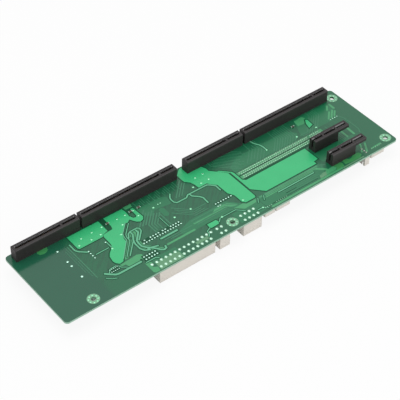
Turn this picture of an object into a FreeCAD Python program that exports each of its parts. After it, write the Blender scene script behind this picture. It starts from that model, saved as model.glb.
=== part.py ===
"""Passive backplane for a host board and expansion cards, in millimetres.

A long printed board carries a row of four card-edge slots for the host board along its back edge, two
short card-edge slots at its right end and one long slot on its underside. White power and signal
headers hang below its front edge. +X runs along the board, +Y towards the host row and +Z up. The
origin lies under the middle of the board, at the mouths of the power headers.
"""
import FreeCAD
import Part
import Sketcher
import math
import os
from types import SimpleNamespace

# Driving dimensions: each alias with its value
SIZES = {
    # Printed board and the spacing of the rows on it
    "board_thickness": 1.6,
    "corner_radius": 3.0,
    "left_margin": 4.7,
    "right_margin": 12.4,
    "gap_d_c": 1.8,
    "gap_c_b": 10.0,
    "gap_b_a": 2.1,
    "back_margin": 6.1,
    "front_margin": 11.68,
    "card_row_pitch": 20.32,
    "host_to_card_row": 42.3,
    "host_to_underside_row": 30.48,
    "card_slot_margin": 39.1,
    "underside_slot_margin": 40.5,
    # Fixing holes
    "hole_diameter": 4.0,
    "hole_front": 7.6,
    "hole_left": 28.2,
    "hole_right": 6.5,
    "hole_span_x": 127.0,
    "hole_span_y": 63.5,
    # Card-edge slots: contact layout
    "long_positions": 82,
    "medium_positions": 49,
    "short_positions": 18,
    "positions_before_key": 11,
    "contact_pitch": 1.0,
    "contact_end_margin": 3.0,
    "contact_key_gap": 3.0,
    # Card-edge slots: moulded housing
    "housing_width": 7.5,
    "housing_height": 11.25,
    "foot_height": 2.0,
    "foot_step": 0.2,
    "top_bevel": 0.5,
    "slot_width": 1.75,
    "slot_floor": 2.8,
    "slot_end_wall": 1.65,
    "slot_lead_in": 0.5,
    "key_width": 1.7,
    "chamber_depth": 0.95,
    "chamber_height": 9.0,
    "arm_length": 11.1,
    "arm_height": 2.95,
    # Card-edge slots: spring contacts and solder tails
    "contact_width": 0.6,
    "contact_bend_height": 6.5,
    "contact_proud": 0.3,
    "contact_top_gap": 0.1,
    "tail_inner_row": 1.25,
    "tail_outer_row": 3.25,
    "tail_width": 0.7,
    "tail_depth": 0.9,
    "tail_length": 0.9,
    # Power headers
    "main_columns": 12,
    "eight_way_columns": 4,
    "four_way_columns": 2,
    "power_pitch": 4.2,
    "power_row_pitch": 5.5,
    "power_end_wall": 0.6,
    "power_depth": 9.6,
    "power_height": 12.8,
    "power_cavity": 3.5,
    "power_cavity_depth": 9.8,
    "power_corner_cut": 0.9,
    "power_pin": 1.07,
    "power_pin_inset": 1.5,
    "power_front": 1.6,
    "latch_width": 4.0,
    "latch_length": 3.5,
    "latch_rise": 1.0,
    "latch_inset": 1.0,
    "ear_length": 3.0,
    "ear_width": 3.4,
    "ear_height": 3.0,
    "peg_diameter": 2.3,
    "peg_clearance": 0.05,
    "peg_recess": 0.2,
    "main_to_four_way": 4.55,
    "four_way_to_hole": 6.9,
    "hole_to_eight_way": 6.4,
    # Small shrouded headers
    "pin_clearance": 0.05,
    "pin_tail_length": 1.0,
    "signal_front": 2.0,
    "signal_few_ways": 4,
    "signal_many_ways": 6,
    "signal_pitch": 2.0,
    "signal_end": 1.95,
    "signal_depth": 4.5,
    "signal_height": 6.0,
    "signal_wall": 0.6,
    "signal_floor": 1.6,
    "signal_pin": 0.5,
    "signal_pin_inset": 1.2,
    "signal_key_slot": 0.8,
    "signal_gap": 1.3,
    "eight_way_to_signal": 3.4,
    "right_signal_margin": 12.6,
    "fan_ways": 3,
    "fan_pitch": 2.54,
    "fan_end": 2.4,
    "fan_depth": 5.0,
    "fan_height": 10.2,
    "fan_wall": 0.8,
    "fan_floor": 3.2,
    "fan_pin": 0.64,
    "fan_pin_inset": 1.4,
    "fan_key_slot": 1.2,
    "fan_gap": 2.2,
    # Chip capacitors, placed from the left edge and from the host row
    "chip_length": 3.2,
    "chip_width": 1.6,
    "chip_height": 1.2,
    "chip_terminal": 0.5,
    "chip_row": 11.3,
    "chip_first": 79.6,
    "chip_second": 100.8,
    "chip_third": 108.4,
    "chip_fourth": 263.8,
}

ORIGIN = -1
START = 1
END = 2
CENTRE = 3
FLIPPED = FreeCAD.Rotation(FreeCAD.Vector(1, 0, 0), 180)
FLIPPED_ACROSS = FreeCAD.Rotation(FreeCAD.Vector(0, 0, 1), 90).multiply(FLIPPED)
UPRIGHT = FreeCAD.Rotation()


class Size:
    """A number together with the sheet formula that gives it."""

    def __init__(self, value, text):
        self.value = value
        self.text = text

    def __add__(self, other):
        other = as_size(other)
        return Size(self.value + other.value, f"({self.text} + {other.text})")

    def __sub__(self, other):
        other = as_size(other)
        return Size(self.value - other.value, f"({self.text} - {other.text})")

    def __mul__(self, other):
        other = as_size(other)
        return Size(self.value * other.value, f"({self.text} * {other.text})")

    def __truediv__(self, other):
        other = as_size(other)
        return Size(self.value / other.value, f"({self.text} / {other.text})")

    def __rmul__(self, other):
        return as_size(other) * self

    def __neg__(self):
        return Size(-self.value, f"(-1 * {self.text})")


def as_size(number):
    """Wrap a bare number, so that it mixes with named sizes."""
    return number if isinstance(number, Size) else Size(number, str(number))


def whole(size):
    """Round a count down to a whole number."""
    return Size(math.floor(size.value), f"floor({size.text})")


doc = FreeCAD.newDocument("PassiveBackplane")
sheet = doc.addObject("Spreadsheet::Sheet", "Sizes")
for row, (alias, amount) in enumerate(SIZES.items(), start=1):
    sheet.set(f"A{row}", alias)
    sheet.set(f"B{row}", str(amount))
    sheet.setAlias(f"B{row}", alias)
doc.recompute()
s = SimpleNamespace(**{alias: Size(amount, f"Sizes.{alias}") for alias, amount in SIZES.items()})
sub_parts = []


def slot_length(positions):
    """Give the length of a card-edge housing with this many contact positions."""
    return 2 * s.contact_end_margin + (positions - 2) * s.contact_pitch + s.contact_key_gap


def header_length(ways, pitch, end):
    """Give the length of a header from its contact count, its pitch and its end past the outer contact."""
    return (ways - 1) * pitch + 2 * end


# Places that several pieces share, from the board's left, right, front and back edges
long_length = slot_length(s.long_positions)
medium_length = slot_length(s.medium_positions)
short_length = slot_length(s.short_positions)
power_end = s.power_pitch / 2 + s.power_end_wall
main_length = header_length(s.main_columns, s.power_pitch, power_end)
eight_way_length = header_length(s.eight_way_columns, s.power_pitch, power_end)
four_way_length = header_length(s.four_way_columns, s.power_pitch, power_end)
few_length = header_length(s.signal_few_ways, s.signal_pitch, s.signal_end)
many_length = header_length(s.signal_many_ways, s.signal_pitch, s.signal_end)

host_gaps = s.gap_d_c + s.gap_c_b + s.gap_b_a
board_length = s.left_margin + 2 * medium_length + 2 * long_length + host_gaps + s.right_margin
board_depth = s.back_margin + s.host_to_card_row + s.card_row_pitch + s.front_margin
left_edge = -board_length / 2
right_edge = board_length / 2
front_edge = -board_depth / 2
underside = s.power_height
top_side = s.power_height + s.board_thickness

host_row = board_depth / 2 - s.back_margin
rear_card_row = host_row - s.host_to_card_row
front_card_row = rear_card_row - s.card_row_pitch
underside_row = host_row - s.host_to_underside_row
slot_d_left = left_edge + s.left_margin
slot_c_left = slot_d_left + medium_length + s.gap_d_c
slot_b_left = slot_c_left + long_length + s.gap_c_b
slot_a_left = slot_b_left + medium_length + s.gap_b_a
card_slot_left = right_edge - s.card_slot_margin - short_length
underside_left = right_edge - s.underside_slot_margin - long_length

front_hole_row = front_edge + s.hole_front
first_hole = left_edge + s.hole_left
second_hole = first_hole + s.hole_span_x
end_hole = right_edge - s.hole_right
back_hole_row = front_hole_row + s.hole_span_y

power_row = front_edge + s.power_front + s.power_depth / 2
four_way_left = second_hole - s.four_way_to_hole - four_way_length
main_left = four_way_left - s.main_to_four_way - main_length
eight_way_left = second_hole + s.hole_to_eight_way
signal_row = front_edge + s.signal_front + s.signal_depth / 2
first_signal_left = eight_way_left + eight_way_length + s.eight_way_to_signal
second_signal_left = first_signal_left + few_length + s.signal_gap
right_signal_left = right_edge - s.right_signal_margin - many_length
fan_middle = right_signal_left - s.fan_gap - s.fan_depth / 2
fan_front = front_edge + s.power_front


def new_body(label):
    """Start a sub-part that may hold several separate solids, and list it for writing."""
    body = doc.addObject("PartDesign::Body", label)
    body.Label = label
    body.AllowCompound = True
    sub_parts.append(body)
    return body


def origin_feature(body, role):
    """Find a plane or an axis of the body's own origin."""
    return next(feature for feature in body.Origin.OriginFeatures if feature.Role == role)


def new_sketch(body, role, raised=0):
    """Add a sketch on one of the body's origin planes, raised along the plane's normal."""
    sketch = body.newObject("Sketcher::SketchObject", f"{body.Label}_outline")
    sketch.AttachmentSupport = [(origin_feature(body, role), "")]
    sketch.MapMode = "FlatFace"
    sketch.setExpression("AttachmentOffset.Base.z", as_size(raised).text)
    return sketch


def pin_point(sketch, geometry, point, place):
    """Tie a point of a sketch to formulas for its two coordinates."""
    for kind, coordinate in zip(("DistanceX", "DistanceY"), place):
        coordinate = as_size(coordinate)
        datum = Sketcher.Constraint(kind, ORIGIN, START, geometry, point, coordinate.value)
        sketch.setExpression(f"Constraints[{sketch.addConstraint(datum)}]", coordinate.text)


def draw_outline(sketch, places):
    """Draw a closed outline of straight lines through the given places."""
    first = sketch.GeometryCount
    corners = [FreeCAD.Vector(as_size(x).value, as_size(y).value, 0) for x, y in places]
    for corner, following in zip(corners, corners[1:] + corners[:1]):
        sketch.addGeometry(Part.LineSegment(corner, following), False)
    for index, place in enumerate(places):
        line = first + index
        next_line = first + (index + 1) % len(places)
        sketch.addConstraint(Sketcher.Constraint("Coincident", line, END, next_line, START))
        pin_point(sketch, line, START, place)


def draw_box(sketch, left, right, low, high):
    """Draw a rectangle from its four sides."""
    draw_outline(sketch, [(left, low), (right, low), (right, high), (left, high)])


def draw_square(sketch, x, y, side):
    """Draw a square about its centre."""
    draw_box(sketch, x - side / 2, x + side / 2, y - side / 2, y + side / 2)


def draw_circle(sketch, x, y, diameter):
    """Draw a circle about its centre."""
    centre = FreeCAD.Vector(as_size(x).value, as_size(y).value, 0)
    circle = sketch.addGeometry(Part.Circle(centre, FreeCAD.Vector(0, 0, 1), diameter.value / 2), False)
    pin_point(sketch, circle, CENTRE, (x, y))
    datum = sketch.addConstraint(Sketcher.Constraint("Diameter", circle, diameter.value))
    sketch.setExpression(f"Constraints[{datum}]", diameter.text)


def pad(body, sketch, length, reverse=False):
    """Pad a sketch along its normal, or against it."""
    feature = body.newObject("PartDesign::Pad", f"{body.Label}_pad")
    feature.Profile = sketch
    feature.Reversed = reverse
    feature.setExpression("Length", as_size(length).text)
    return feature


def pocket(body, sketch, depth, reverse=False):
    """Cut a sketch against its normal, or along it, and check that it took material away."""
    doc.recompute()
    before = body.Shape.Volume
    feature = body.newObject("PartDesign::Pocket", f"{body.Label}_pocket")
    feature.Profile = sketch
    feature.Reversed = reverse
    feature.setExpression("Length", as_size(depth).text)
    doc.recompute()
    if body.Shape.Volume >= before:
        raise RuntimeError(f"{feature.Label} cuts nothing")
    return feature


def repeat(body, feature, count, spacing):
    """Repeat a feature along the body's X axis."""
    row = body.newObject("PartDesign::LinearPattern", f"{body.Label}_row")
    row.Originals = [feature]
    row.Direction = (origin_feature(body, "X_Axis"), [""])
    row.Mode = "Spacing"
    row.setExpression("Offset", as_size(spacing).text)
    row.setExpression("Occurrences", as_size(count).text)
    body.Tip = row
    return row


def set_place(body, x, y, z, turn=UPRIGHT):
    """Put a body where its formulas say, turned as given."""
    body.Placement = FreeCAD.Placement(FreeCAD.Vector(x.value, y.value, z.value), turn)
    for axis, coordinate in zip("xyz", (x, y, z)):
        body.setExpression(f"Placement.Base.{axis}", coordinate.text)


def edges_where(shape, test):
    """Name the straight edges of a shape whose two ends both pass a test."""
    chosen = []
    for index, edge in enumerate(shape.Edges, start=1):
        if edge.Curve.TypeId == "Part::GeomLine" and all(test(vertex.Point) for vertex in edge.Vertexes):
            chosen.append(f"Edge{index}")
    return chosen


def near(number, target):
    """Say whether two lengths agree within the modelling tolerance."""
    return abs(number - target) < 1e-6


def make_board():
    """Make the printed board, with its fixing holes and the holes for the main header's pegs."""
    body = new_body("circuit_board")
    sketch = new_sketch(body, "XY_Plane", underside)
    draw_box(sketch, left_edge, right_edge, front_edge, front_edge + board_depth)
    blank = pad(body, sketch, s.board_thickness)
    doc.recompute()
    half_length = right_edge.value
    corners = body.newObject("PartDesign::Fillet", "circuit_board_corners")
    upright = [name for name in edges_where(blank.Shape, lambda point: near(abs(point.x), half_length))
               if near(blank.Shape.getElement(name).tangentAt(0).z ** 2, 1)]
    corners.Base = (blank, upright)
    corners.setExpression("Radius", s.corner_radius.text)

    holes = new_sketch(body, "XY_Plane", top_side)
    for x, y in ((first_hole, front_hole_row), (second_hole, front_hole_row),
                 (end_hole, front_hole_row), (end_hole, back_hole_row)):
        draw_circle(holes, x, y, s.hole_diameter)
    peg_hole = s.peg_diameter + 2 * s.peg_clearance
    for x in (main_left - s.ear_length / 2, main_left + main_length + s.ear_length / 2):
        draw_circle(holes, x, power_row + s.power_row_pitch / 2, peg_hole)
    pocket(body, holes, s.board_thickness)


def slot_profile(low, foot=()):
    """Give the section of a card-edge housing above a height: its foot, straight sides and bevelled top."""
    side = s.housing_width / 2 - s.foot_step
    shoulder = s.housing_height - s.top_bevel
    right = [*foot, (side, low), (side, shoulder), (side - s.top_bevel, s.housing_height)]
    return right + [(-y, z) for y, z in reversed(right)]


def make_slot_housing(label, positions, with_guide=False):
    """Mould a card-edge housing: a slot with a key and a lead-in, and chambers for its contacts.

    With a guide, the slot runs out of the left end, and an arm carries it on past the right end.
    """
    body = new_body(label)
    length = slot_length(positions)
    half = s.housing_width / 2
    section = new_sketch(body, "YZ_Plane")
    draw_outline(section, slot_profile(s.foot_height, foot=[(half, 0), (half, s.foot_height)]))
    pad(body, section, length)

    key = length - s.contact_end_margin - (s.positions_before_key - 1) * s.contact_pitch - s.contact_key_gap / 2
    mouth = s.slot_width / 2
    right_part = (key + s.key_width / 2, length - s.slot_end_wall)
    left_part = (s.slot_end_wall, key - s.key_width / 2)
    slots = [right_part, left_part]
    if with_guide:
        arm = new_sketch(body, "YZ_Plane", length)
        draw_outline(arm, slot_profile(s.housing_height - s.arm_height))
        pad(body, arm, s.arm_length)
        slots = [right_part, (-s.slot_end_wall, left_part[1]), (length, length + s.arm_length - s.slot_end_wall)]

    slot = new_sketch(body, "XY_Plane", s.housing_height)
    for left, right in slots:
        draw_box(slot, left, right, -mouth, mouth)
    slot_cut = pocket(body, slot, s.housing_height - s.slot_floor)

    lead_in = body.newObject("PartDesign::Chamfer", f"{label}_lead_in")
    lips = edges_where(slot_cut.Shape, lambda point: near(point.z, s.housing_height.value)
                       and near(abs(point.y), mouth.value))
    lead_in.Base = (slot_cut, lips)
    lead_in.setExpression("Size", s.slot_lead_in.text)

    chamber = new_sketch(body, "XY_Plane")
    for left, right in (right_part, left_part):
        draw_box(chamber, left, right, mouth, mouth + s.chamber_depth)
        draw_box(chamber, left, right, -mouth - s.chamber_depth, -mouth)
    pocket(body, chamber, s.chamber_height, reverse=True)
    return body


def contact_groups(positions):
    """Give the first place and the count of the contacts on each side of the key."""
    first_right = slot_length(positions) - s.contact_end_margin - (s.positions_before_key - 1) * s.contact_pitch
    return [(s.contact_end_margin, positions - s.positions_before_key), (first_right, s.positions_before_key)]


def make_slot_contacts(label, positions):
    """Make the two facing rows of spring contacts, each bowed into the slot from its chamber's wall."""
    body = new_body(label)
    wall = s.slot_width / 2 + s.chamber_depth
    crest = s.slot_width / 2 - s.contact_proud
    tip = s.chamber_height - s.contact_top_gap
    for first, count in contact_groups(positions):
        bow = new_sketch(body, "YZ_Plane", first - s.contact_width / 2)
        draw_outline(bow, [(wall, 0), (wall, tip), (crest, s.contact_bend_height)])
        draw_outline(bow, [(-wall, 0), (-crest, s.contact_bend_height), (-wall, tip)])
        repeat(body, pad(body, bow, s.contact_width), count, s.contact_pitch)
    return body


def make_slot_tails(label, positions):
    """Make the contacts' solder tails past the far face of the board, in four staggered rows."""
    body = new_body(label)
    root = -s.board_thickness
    for first, count in contact_groups(positions):
        for start, row, share in ((first, s.tail_outer_row, whole((count + 1) / 2)),
                                  (first + s.contact_pitch, s.tail_inner_row, whole(count / 2))):
            chisel = new_sketch(body, "YZ_Plane", start - s.tail_width / 2)
            for middle in (row, -row):
                draw_outline(chisel, [(middle - s.tail_depth / 2, root), (middle, root - s.tail_length),
                                      (middle + s.tail_depth / 2, root)])
            repeat(body, pad(body, chisel, s.tail_width), share, 2 * s.contact_pitch)
    return body


def make_power_housing(label, columns, with_ears=False):
    """Mould a two-row power header: a block with a cavity for each pin, and a latch ramp on its back."""
    body = new_body(label)
    length = header_length(columns, s.power_pitch, power_end)
    half = s.power_depth / 2
    block = new_sketch(body, "XY_Plane")
    draw_box(block, 0, length, -half, half)
    pad(body, block, s.power_height)

    latch = new_sketch(body, "YZ_Plane", length / 2 - s.latch_width / 2)
    ramp_foot = s.power_height - s.latch_inset
    draw_outline(latch, [(-half, ramp_foot), (-half, ramp_foot - s.latch_length),
                         (-half - s.latch_rise, ramp_foot - s.latch_length)])
    pad(body, latch, s.latch_width)

    if with_ears:
        ear_middle = -s.power_row_pitch / 2
        ears = new_sketch(body, "XY_Plane")
        pegs = new_sketch(body, "XY_Plane")
        for left in (-s.ear_length, length):
            draw_box(ears, left, left + s.ear_length, ear_middle - s.ear_width / 2, ear_middle + s.ear_width / 2)
            draw_circle(pegs, left + s.ear_length / 2, ear_middle, s.peg_diameter)
        pad(body, ears, s.ear_height)
        pad(body, pegs, s.board_thickness - s.peg_recess, reverse=True)

    wide = s.power_cavity / 2
    cut = wide - s.power_corner_cut
    for column, square_row in ((0, 1), (1, -1)):
        x = power_end + column * s.power_pitch
        square = square_row * s.power_row_pitch / 2
        keyed = -square
        cavities = new_sketch(body, "XY_Plane", s.power_height)
        draw_square(cavities, x, square, s.power_cavity)
        draw_outline(cavities, [(x - wide, keyed - wide), (x + wide, keyed - wide), (x + wide, keyed + cut),
                                (x + cut, keyed + wide), (x - cut, keyed + wide), (x - wide, keyed + cut)])
        repeat(body, pocket(body, cavities, s.power_cavity_depth), columns / 2, 2 * s.power_pitch)

    holes = new_sketch(body, "XY_Plane")
    for row in (-s.power_row_pitch / 2, s.power_row_pitch / 2):
        draw_square(holes, power_end, row, s.power_pin + 2 * s.pin_clearance)
    floor = s.power_height - s.power_cavity_depth
    repeat(body, pocket(body, holes, floor, reverse=True), columns, s.power_pitch)
    return body


def make_pins(label, ways, pitch, end, rows, side, reach):
    """Make a header's square pins, and their tails past the far face of the board."""
    body = new_body(label)
    for raised, length, reverse in ((0, reach, False), (-s.board_thickness, s.pin_tail_length, True)):
        squares = new_sketch(body, "XY_Plane", raised)
        for row in rows:
            draw_square(squares, end, row, side)
        repeat(body, pad(body, squares, length, reverse), ways, pitch)
    return body


def make_shrouded_housing(label, ways, kind):
    """Mould a small single-row header: an open-mouthed shroud with two key slots in one long wall."""
    body = new_body(label)
    length = header_length(ways, kind.pitch, kind.end)
    half = kind.depth / 2
    block = new_sketch(body, "XY_Plane")
    draw_box(block, 0, length, -half, half)
    pad(body, block, kind.height)

    mouth = new_sketch(body, "XY_Plane", kind.height)
    draw_box(mouth, kind.wall, length - kind.wall, kind.wall - half, half - kind.wall)
    pocket(body, mouth, kind.height - kind.floor)

    keys = new_sketch(body, "XY_Plane", kind.height)
    for x in (kind.end, length - kind.end):
        draw_box(keys, x - kind.key_slot / 2, x + kind.key_slot / 2, -half, kind.wall - half)
    pocket(body, keys, (kind.height - kind.floor) / 2)

    holes = new_sketch(body, "XY_Plane")
    draw_square(holes, kind.end, as_size(0), kind.pin + 2 * s.pin_clearance)
    repeat(body, pocket(body, holes, kind.floor, reverse=True), ways, kind.pitch)
    return body


def make_chips():
    """Make the chip capacitors on the upper face: ceramic bodies between solder-plated terminals."""
    bodies = new_body("chip_capacitor_bodies")
    terminals = new_body("chip_capacitor_terminals")
    ceramic = new_sketch(bodies, "XY_Plane", top_side)
    plated = new_sketch(terminals, "XY_Plane", top_side)
    front = host_row - s.chip_row - s.chip_width / 2
    back = front + s.chip_width
    half = s.chip_length / 2
    inner = half - s.chip_terminal
    for place in (s.chip_first, s.chip_second, s.chip_third, s.chip_fourth):
        middle = left_edge + place
        draw_box(ceramic, middle - inner, middle + inner, front, back)
        draw_box(plated, middle - half, middle - inner, front, back)
        draw_box(plated, middle + inner, middle + half, front, back)
    pad(bodies, ceramic, s.chip_height)
    pad(terminals, plated, s.chip_height)


make_board()

# Host row, from the right
for letter, positions, left in (("a", s.long_positions, slot_a_left), ("b", s.medium_positions, slot_b_left),
                                ("c", s.long_positions, slot_c_left), ("d", s.medium_positions, slot_d_left)):
    set_place(make_slot_housing(f"host_slot_{letter}_housing", positions), left, host_row, top_side)
    set_place(make_slot_contacts(f"host_slot_{letter}_contacts", positions), left, host_row, top_side)

# Short card slots on the upper face
for name, slot_row in (("rear", rear_card_row), ("front", front_card_row)):
    housing = make_slot_housing(f"{name}_card_slot_housing", s.short_positions, with_guide=True)
    contacts = make_slot_contacts(f"{name}_card_slot_contacts", s.short_positions)
    for piece in (housing, contacts):
        set_place(piece, card_slot_left, slot_row, top_side)

# Long slot on the underside
for piece in (make_slot_housing("underside_slot_housing", s.long_positions),
              make_slot_contacts("underside_slot_contacts", s.long_positions),
              make_slot_tails("underside_slot_solder_tails", s.long_positions)):
    set_place(piece, underside_left, underside_row, underside, FLIPPED)

# Power headers below the front edge
power_rows = (-s.power_row_pitch / 2, s.power_row_pitch / 2)
power_reach = s.power_height - s.power_pin_inset
for name, columns, left in (("main", s.main_columns, main_left), ("four_way", s.four_way_columns, four_way_left),
                            ("eight_way", s.eight_way_columns, eight_way_left)):
    housing = make_power_housing(f"{name}_power_housing", columns, with_ears=name == "main")
    pins = make_pins(f"{name}_power_pins", columns, s.power_pitch, power_end, power_rows, s.power_pin, power_reach)
    for piece in (housing, pins):
        set_place(piece, left, power_row, underside, FLIPPED)

# Small shrouded headers below the front edge
signal_kind = SimpleNamespace(pitch=s.signal_pitch, end=s.signal_end, depth=s.signal_depth, height=s.signal_height,
                              wall=s.signal_wall, floor=s.signal_floor, pin=s.signal_pin,
                              inset=s.signal_pin_inset, key_slot=s.signal_key_slot)
fan_kind = SimpleNamespace(pitch=s.fan_pitch, end=s.fan_end, depth=s.fan_depth, height=s.fan_height,
                           wall=s.fan_wall, floor=s.fan_floor, pin=s.fan_pin,
                           inset=s.fan_pin_inset, key_slot=s.fan_key_slot)
for name, ways, kind, left, row, turn in (
        ("left_signal", s.signal_few_ways, signal_kind, first_signal_left, signal_row, FLIPPED),
        ("middle_signal", s.signal_many_ways, signal_kind, second_signal_left, signal_row, FLIPPED),
        ("right_signal", s.signal_many_ways, signal_kind, right_signal_left, signal_row, FLIPPED),
        ("fan", s.fan_ways, fan_kind, fan_middle, fan_front, FLIPPED_ACROSS)):
    housing = make_shrouded_housing(f"{name}_header_housing", ways, kind)
    pins = make_pins(f"{name}_header_pins", ways, kind.pitch, kind.end, (as_size(0),), kind.pin,
                     kind.height - kind.inset)
    for piece in (housing, pins):
        set_place(piece, left, row, underside, turn)

make_chips()

doc.recompute()
for item in doc.Objects:
    if "Invalid" in item.State or "Error" in item.State:
        raise RuntimeError(f"{item.Label} failed to compute: {item.State}")
for sub_part in sub_parts:
    if sub_part.Shape.isNull() or not sub_part.Shape.isValid():
        raise RuntimeError(f"{sub_part.Label} has no valid shape")

os.makedirs("parts", exist_ok=True)
for sub_part in sub_parts:
    sub_part.Shape.exportStep(f"parts/{sub_part.Label}.step")
    print(sub_part.Label, len(sub_part.Shape.Solids), "solids", round(sub_part.Shape.Volume, 2), "mm3")
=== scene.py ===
"""Looks of the passive backplane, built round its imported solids.

Lengths are millimetres, and places are millimetres on the printed board: x from its left edge, y from its
front edge, and z away from the face that a piece sits on. The Board class turns them into the frame's
metres. Only the camera, the lights and the floor are set in the frame's metres.
"""
from __future__ import annotations

import logging
import math
from collections.abc import Iterator, Sequence
from dataclasses import dataclass
from enum import Enum
from functools import cached_property

import bmesh
import bpy
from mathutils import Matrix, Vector


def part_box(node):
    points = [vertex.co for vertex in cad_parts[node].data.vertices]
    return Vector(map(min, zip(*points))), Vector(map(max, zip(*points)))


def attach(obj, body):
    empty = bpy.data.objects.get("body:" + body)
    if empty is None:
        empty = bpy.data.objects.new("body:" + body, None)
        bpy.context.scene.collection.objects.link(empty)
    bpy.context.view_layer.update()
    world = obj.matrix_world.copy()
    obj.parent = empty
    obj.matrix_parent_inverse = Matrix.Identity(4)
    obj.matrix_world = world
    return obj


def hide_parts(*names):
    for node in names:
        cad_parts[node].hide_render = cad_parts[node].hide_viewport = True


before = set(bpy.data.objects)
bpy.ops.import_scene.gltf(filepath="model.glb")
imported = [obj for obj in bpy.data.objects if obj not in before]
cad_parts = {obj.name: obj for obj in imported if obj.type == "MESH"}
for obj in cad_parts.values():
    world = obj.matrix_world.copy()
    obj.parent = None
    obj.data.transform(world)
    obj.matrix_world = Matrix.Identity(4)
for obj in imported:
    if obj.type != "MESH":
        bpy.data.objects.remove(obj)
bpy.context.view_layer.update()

log = logging.getLogger("passive_backplane")

Point2 = tuple[float, float]
Point3 = tuple[float, float, float]
Colour = tuple[float, float, float]
Path = tuple[Point2, ...]

MILLIMETRE = 0.001
ROOT_BODY = "root"

# Points of a mesh that lie closer than this, in metres, are one point.
WELD = 1e-7
# How far printed and soldered pieces reach into the board.
SUNK = 0.02
# Spacing of the wave texture's bands at a scale of 1.
WAVE_SPACING = 0.3142
# A surface faces an axis where its normal's share along that axis is at least this.
FACING_LIMIT = 0.5
# Specular level of the solder mask.
MASK_GLOSS = 0.66
# Finer layers of the noises that need few.
FINE_DETAIL = 2.0

# Distances of the slots' middle lines from the front edge.
HOST_ROW = 74.3
REAR_CARD_ROW = 32.0
FRONT_CARD_ROW = 11.68
UNDERSIDE_ROW = 43.82


class Slot(Enum):
    """The record's material slots."""

    BOARD = "board"
    BLACK_PLASTIC = "black_plastic"
    GILT_CONTACT = "gilt_contact"
    WHITE_PLASTIC = "white_plastic"
    TINNED_METAL = "tinned_metal"
    CERAMIC = "ceramic"


class Face(Enum):
    """The two faces of the printed board."""

    UPPER = 1
    UNDER = -1


@dataclass(frozen=True)
class Board:
    """Places on the printed board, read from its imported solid."""

    low: Vector
    high: Vector

    @classmethod
    def from_frame(cls) -> Board:
        """Read the solid's box."""
        return cls(*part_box("circuit_board"))

    @property
    def thickness(self) -> float:
        """Give the board's thickness."""
        return (self.high.z - self.low.z) / MILLIMETRE

    def spot(self, face: Face, x: float, y: float, z: float) -> Vector:
        """Turn a place on the board into the frame's metres.

        Args:
            face: The face that z rises from.
            x: Distance from the left edge.
            y: Distance from the front edge.
            z: Height over the face.

        Returns:
            The place.
        """
        level = self.high.z if face is Face.UPPER else self.low.z
        rise = face.value * z * MILLIMETRE
        return Vector((self.low.x + x * MILLIMETRE, self.low.y + y * MILLIMETRE, level + rise))


class Signal:
    """A shader socket that adds Math nodes when it is used in an expression."""

    def __init__(self, bench: Bench, socket: bpy.types.NodeSocket) -> None:
        """Keep the socket and the bench that its nodes stand on."""
        self.bench = bench
        self.socket = socket

    def math(self, operation: str, first: Signal | float, second: Signal | float = 0.0) -> Signal:
        """Add a Math node.

        Args:
            operation: The node's operation.
            first: Its first value.
            second: Its second value.

        Returns:
            The node's result.
        """
        return self.bench.node("ShaderNodeMath", {"operation": operation}, {0: first, 1: second})

    def __add__(self, other: Signal | float) -> Signal:
        """Add a value."""
        return self.math("ADD", self, other)

    def __radd__(self, other: float) -> Signal:
        """Add to a value."""
        return self.math("ADD", other, self)

    def __sub__(self, other: Signal | float) -> Signal:
        """Take a value away."""
        return self.math("SUBTRACT", self, other)

    def __rsub__(self, other: float) -> Signal:
        """Take from a value."""
        return self.math("SUBTRACT", other, self)

    def __mul__(self, other: Signal | float) -> Signal:
        """Multiply by a value."""
        return self.math("MULTIPLY", self, other)

    def __rmul__(self, other: float) -> Signal:
        """Multiply a value."""
        return self.math("MULTIPLY", other, self)

    def __abs__(self) -> Signal:
        """Drop the sign."""
        return self.math("ABSOLUTE", self)

    def __lt__(self, other: Signal | float) -> Signal:
        """Give 1 where the signal is less than a value, and 0 elsewhere."""
        return self.math("LESS_THAN", self, other)

    def __or__(self, other: Signal | float) -> Signal:
        """Give the larger of two signals."""
        return self.math("MAXIMUM", self, other)


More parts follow.
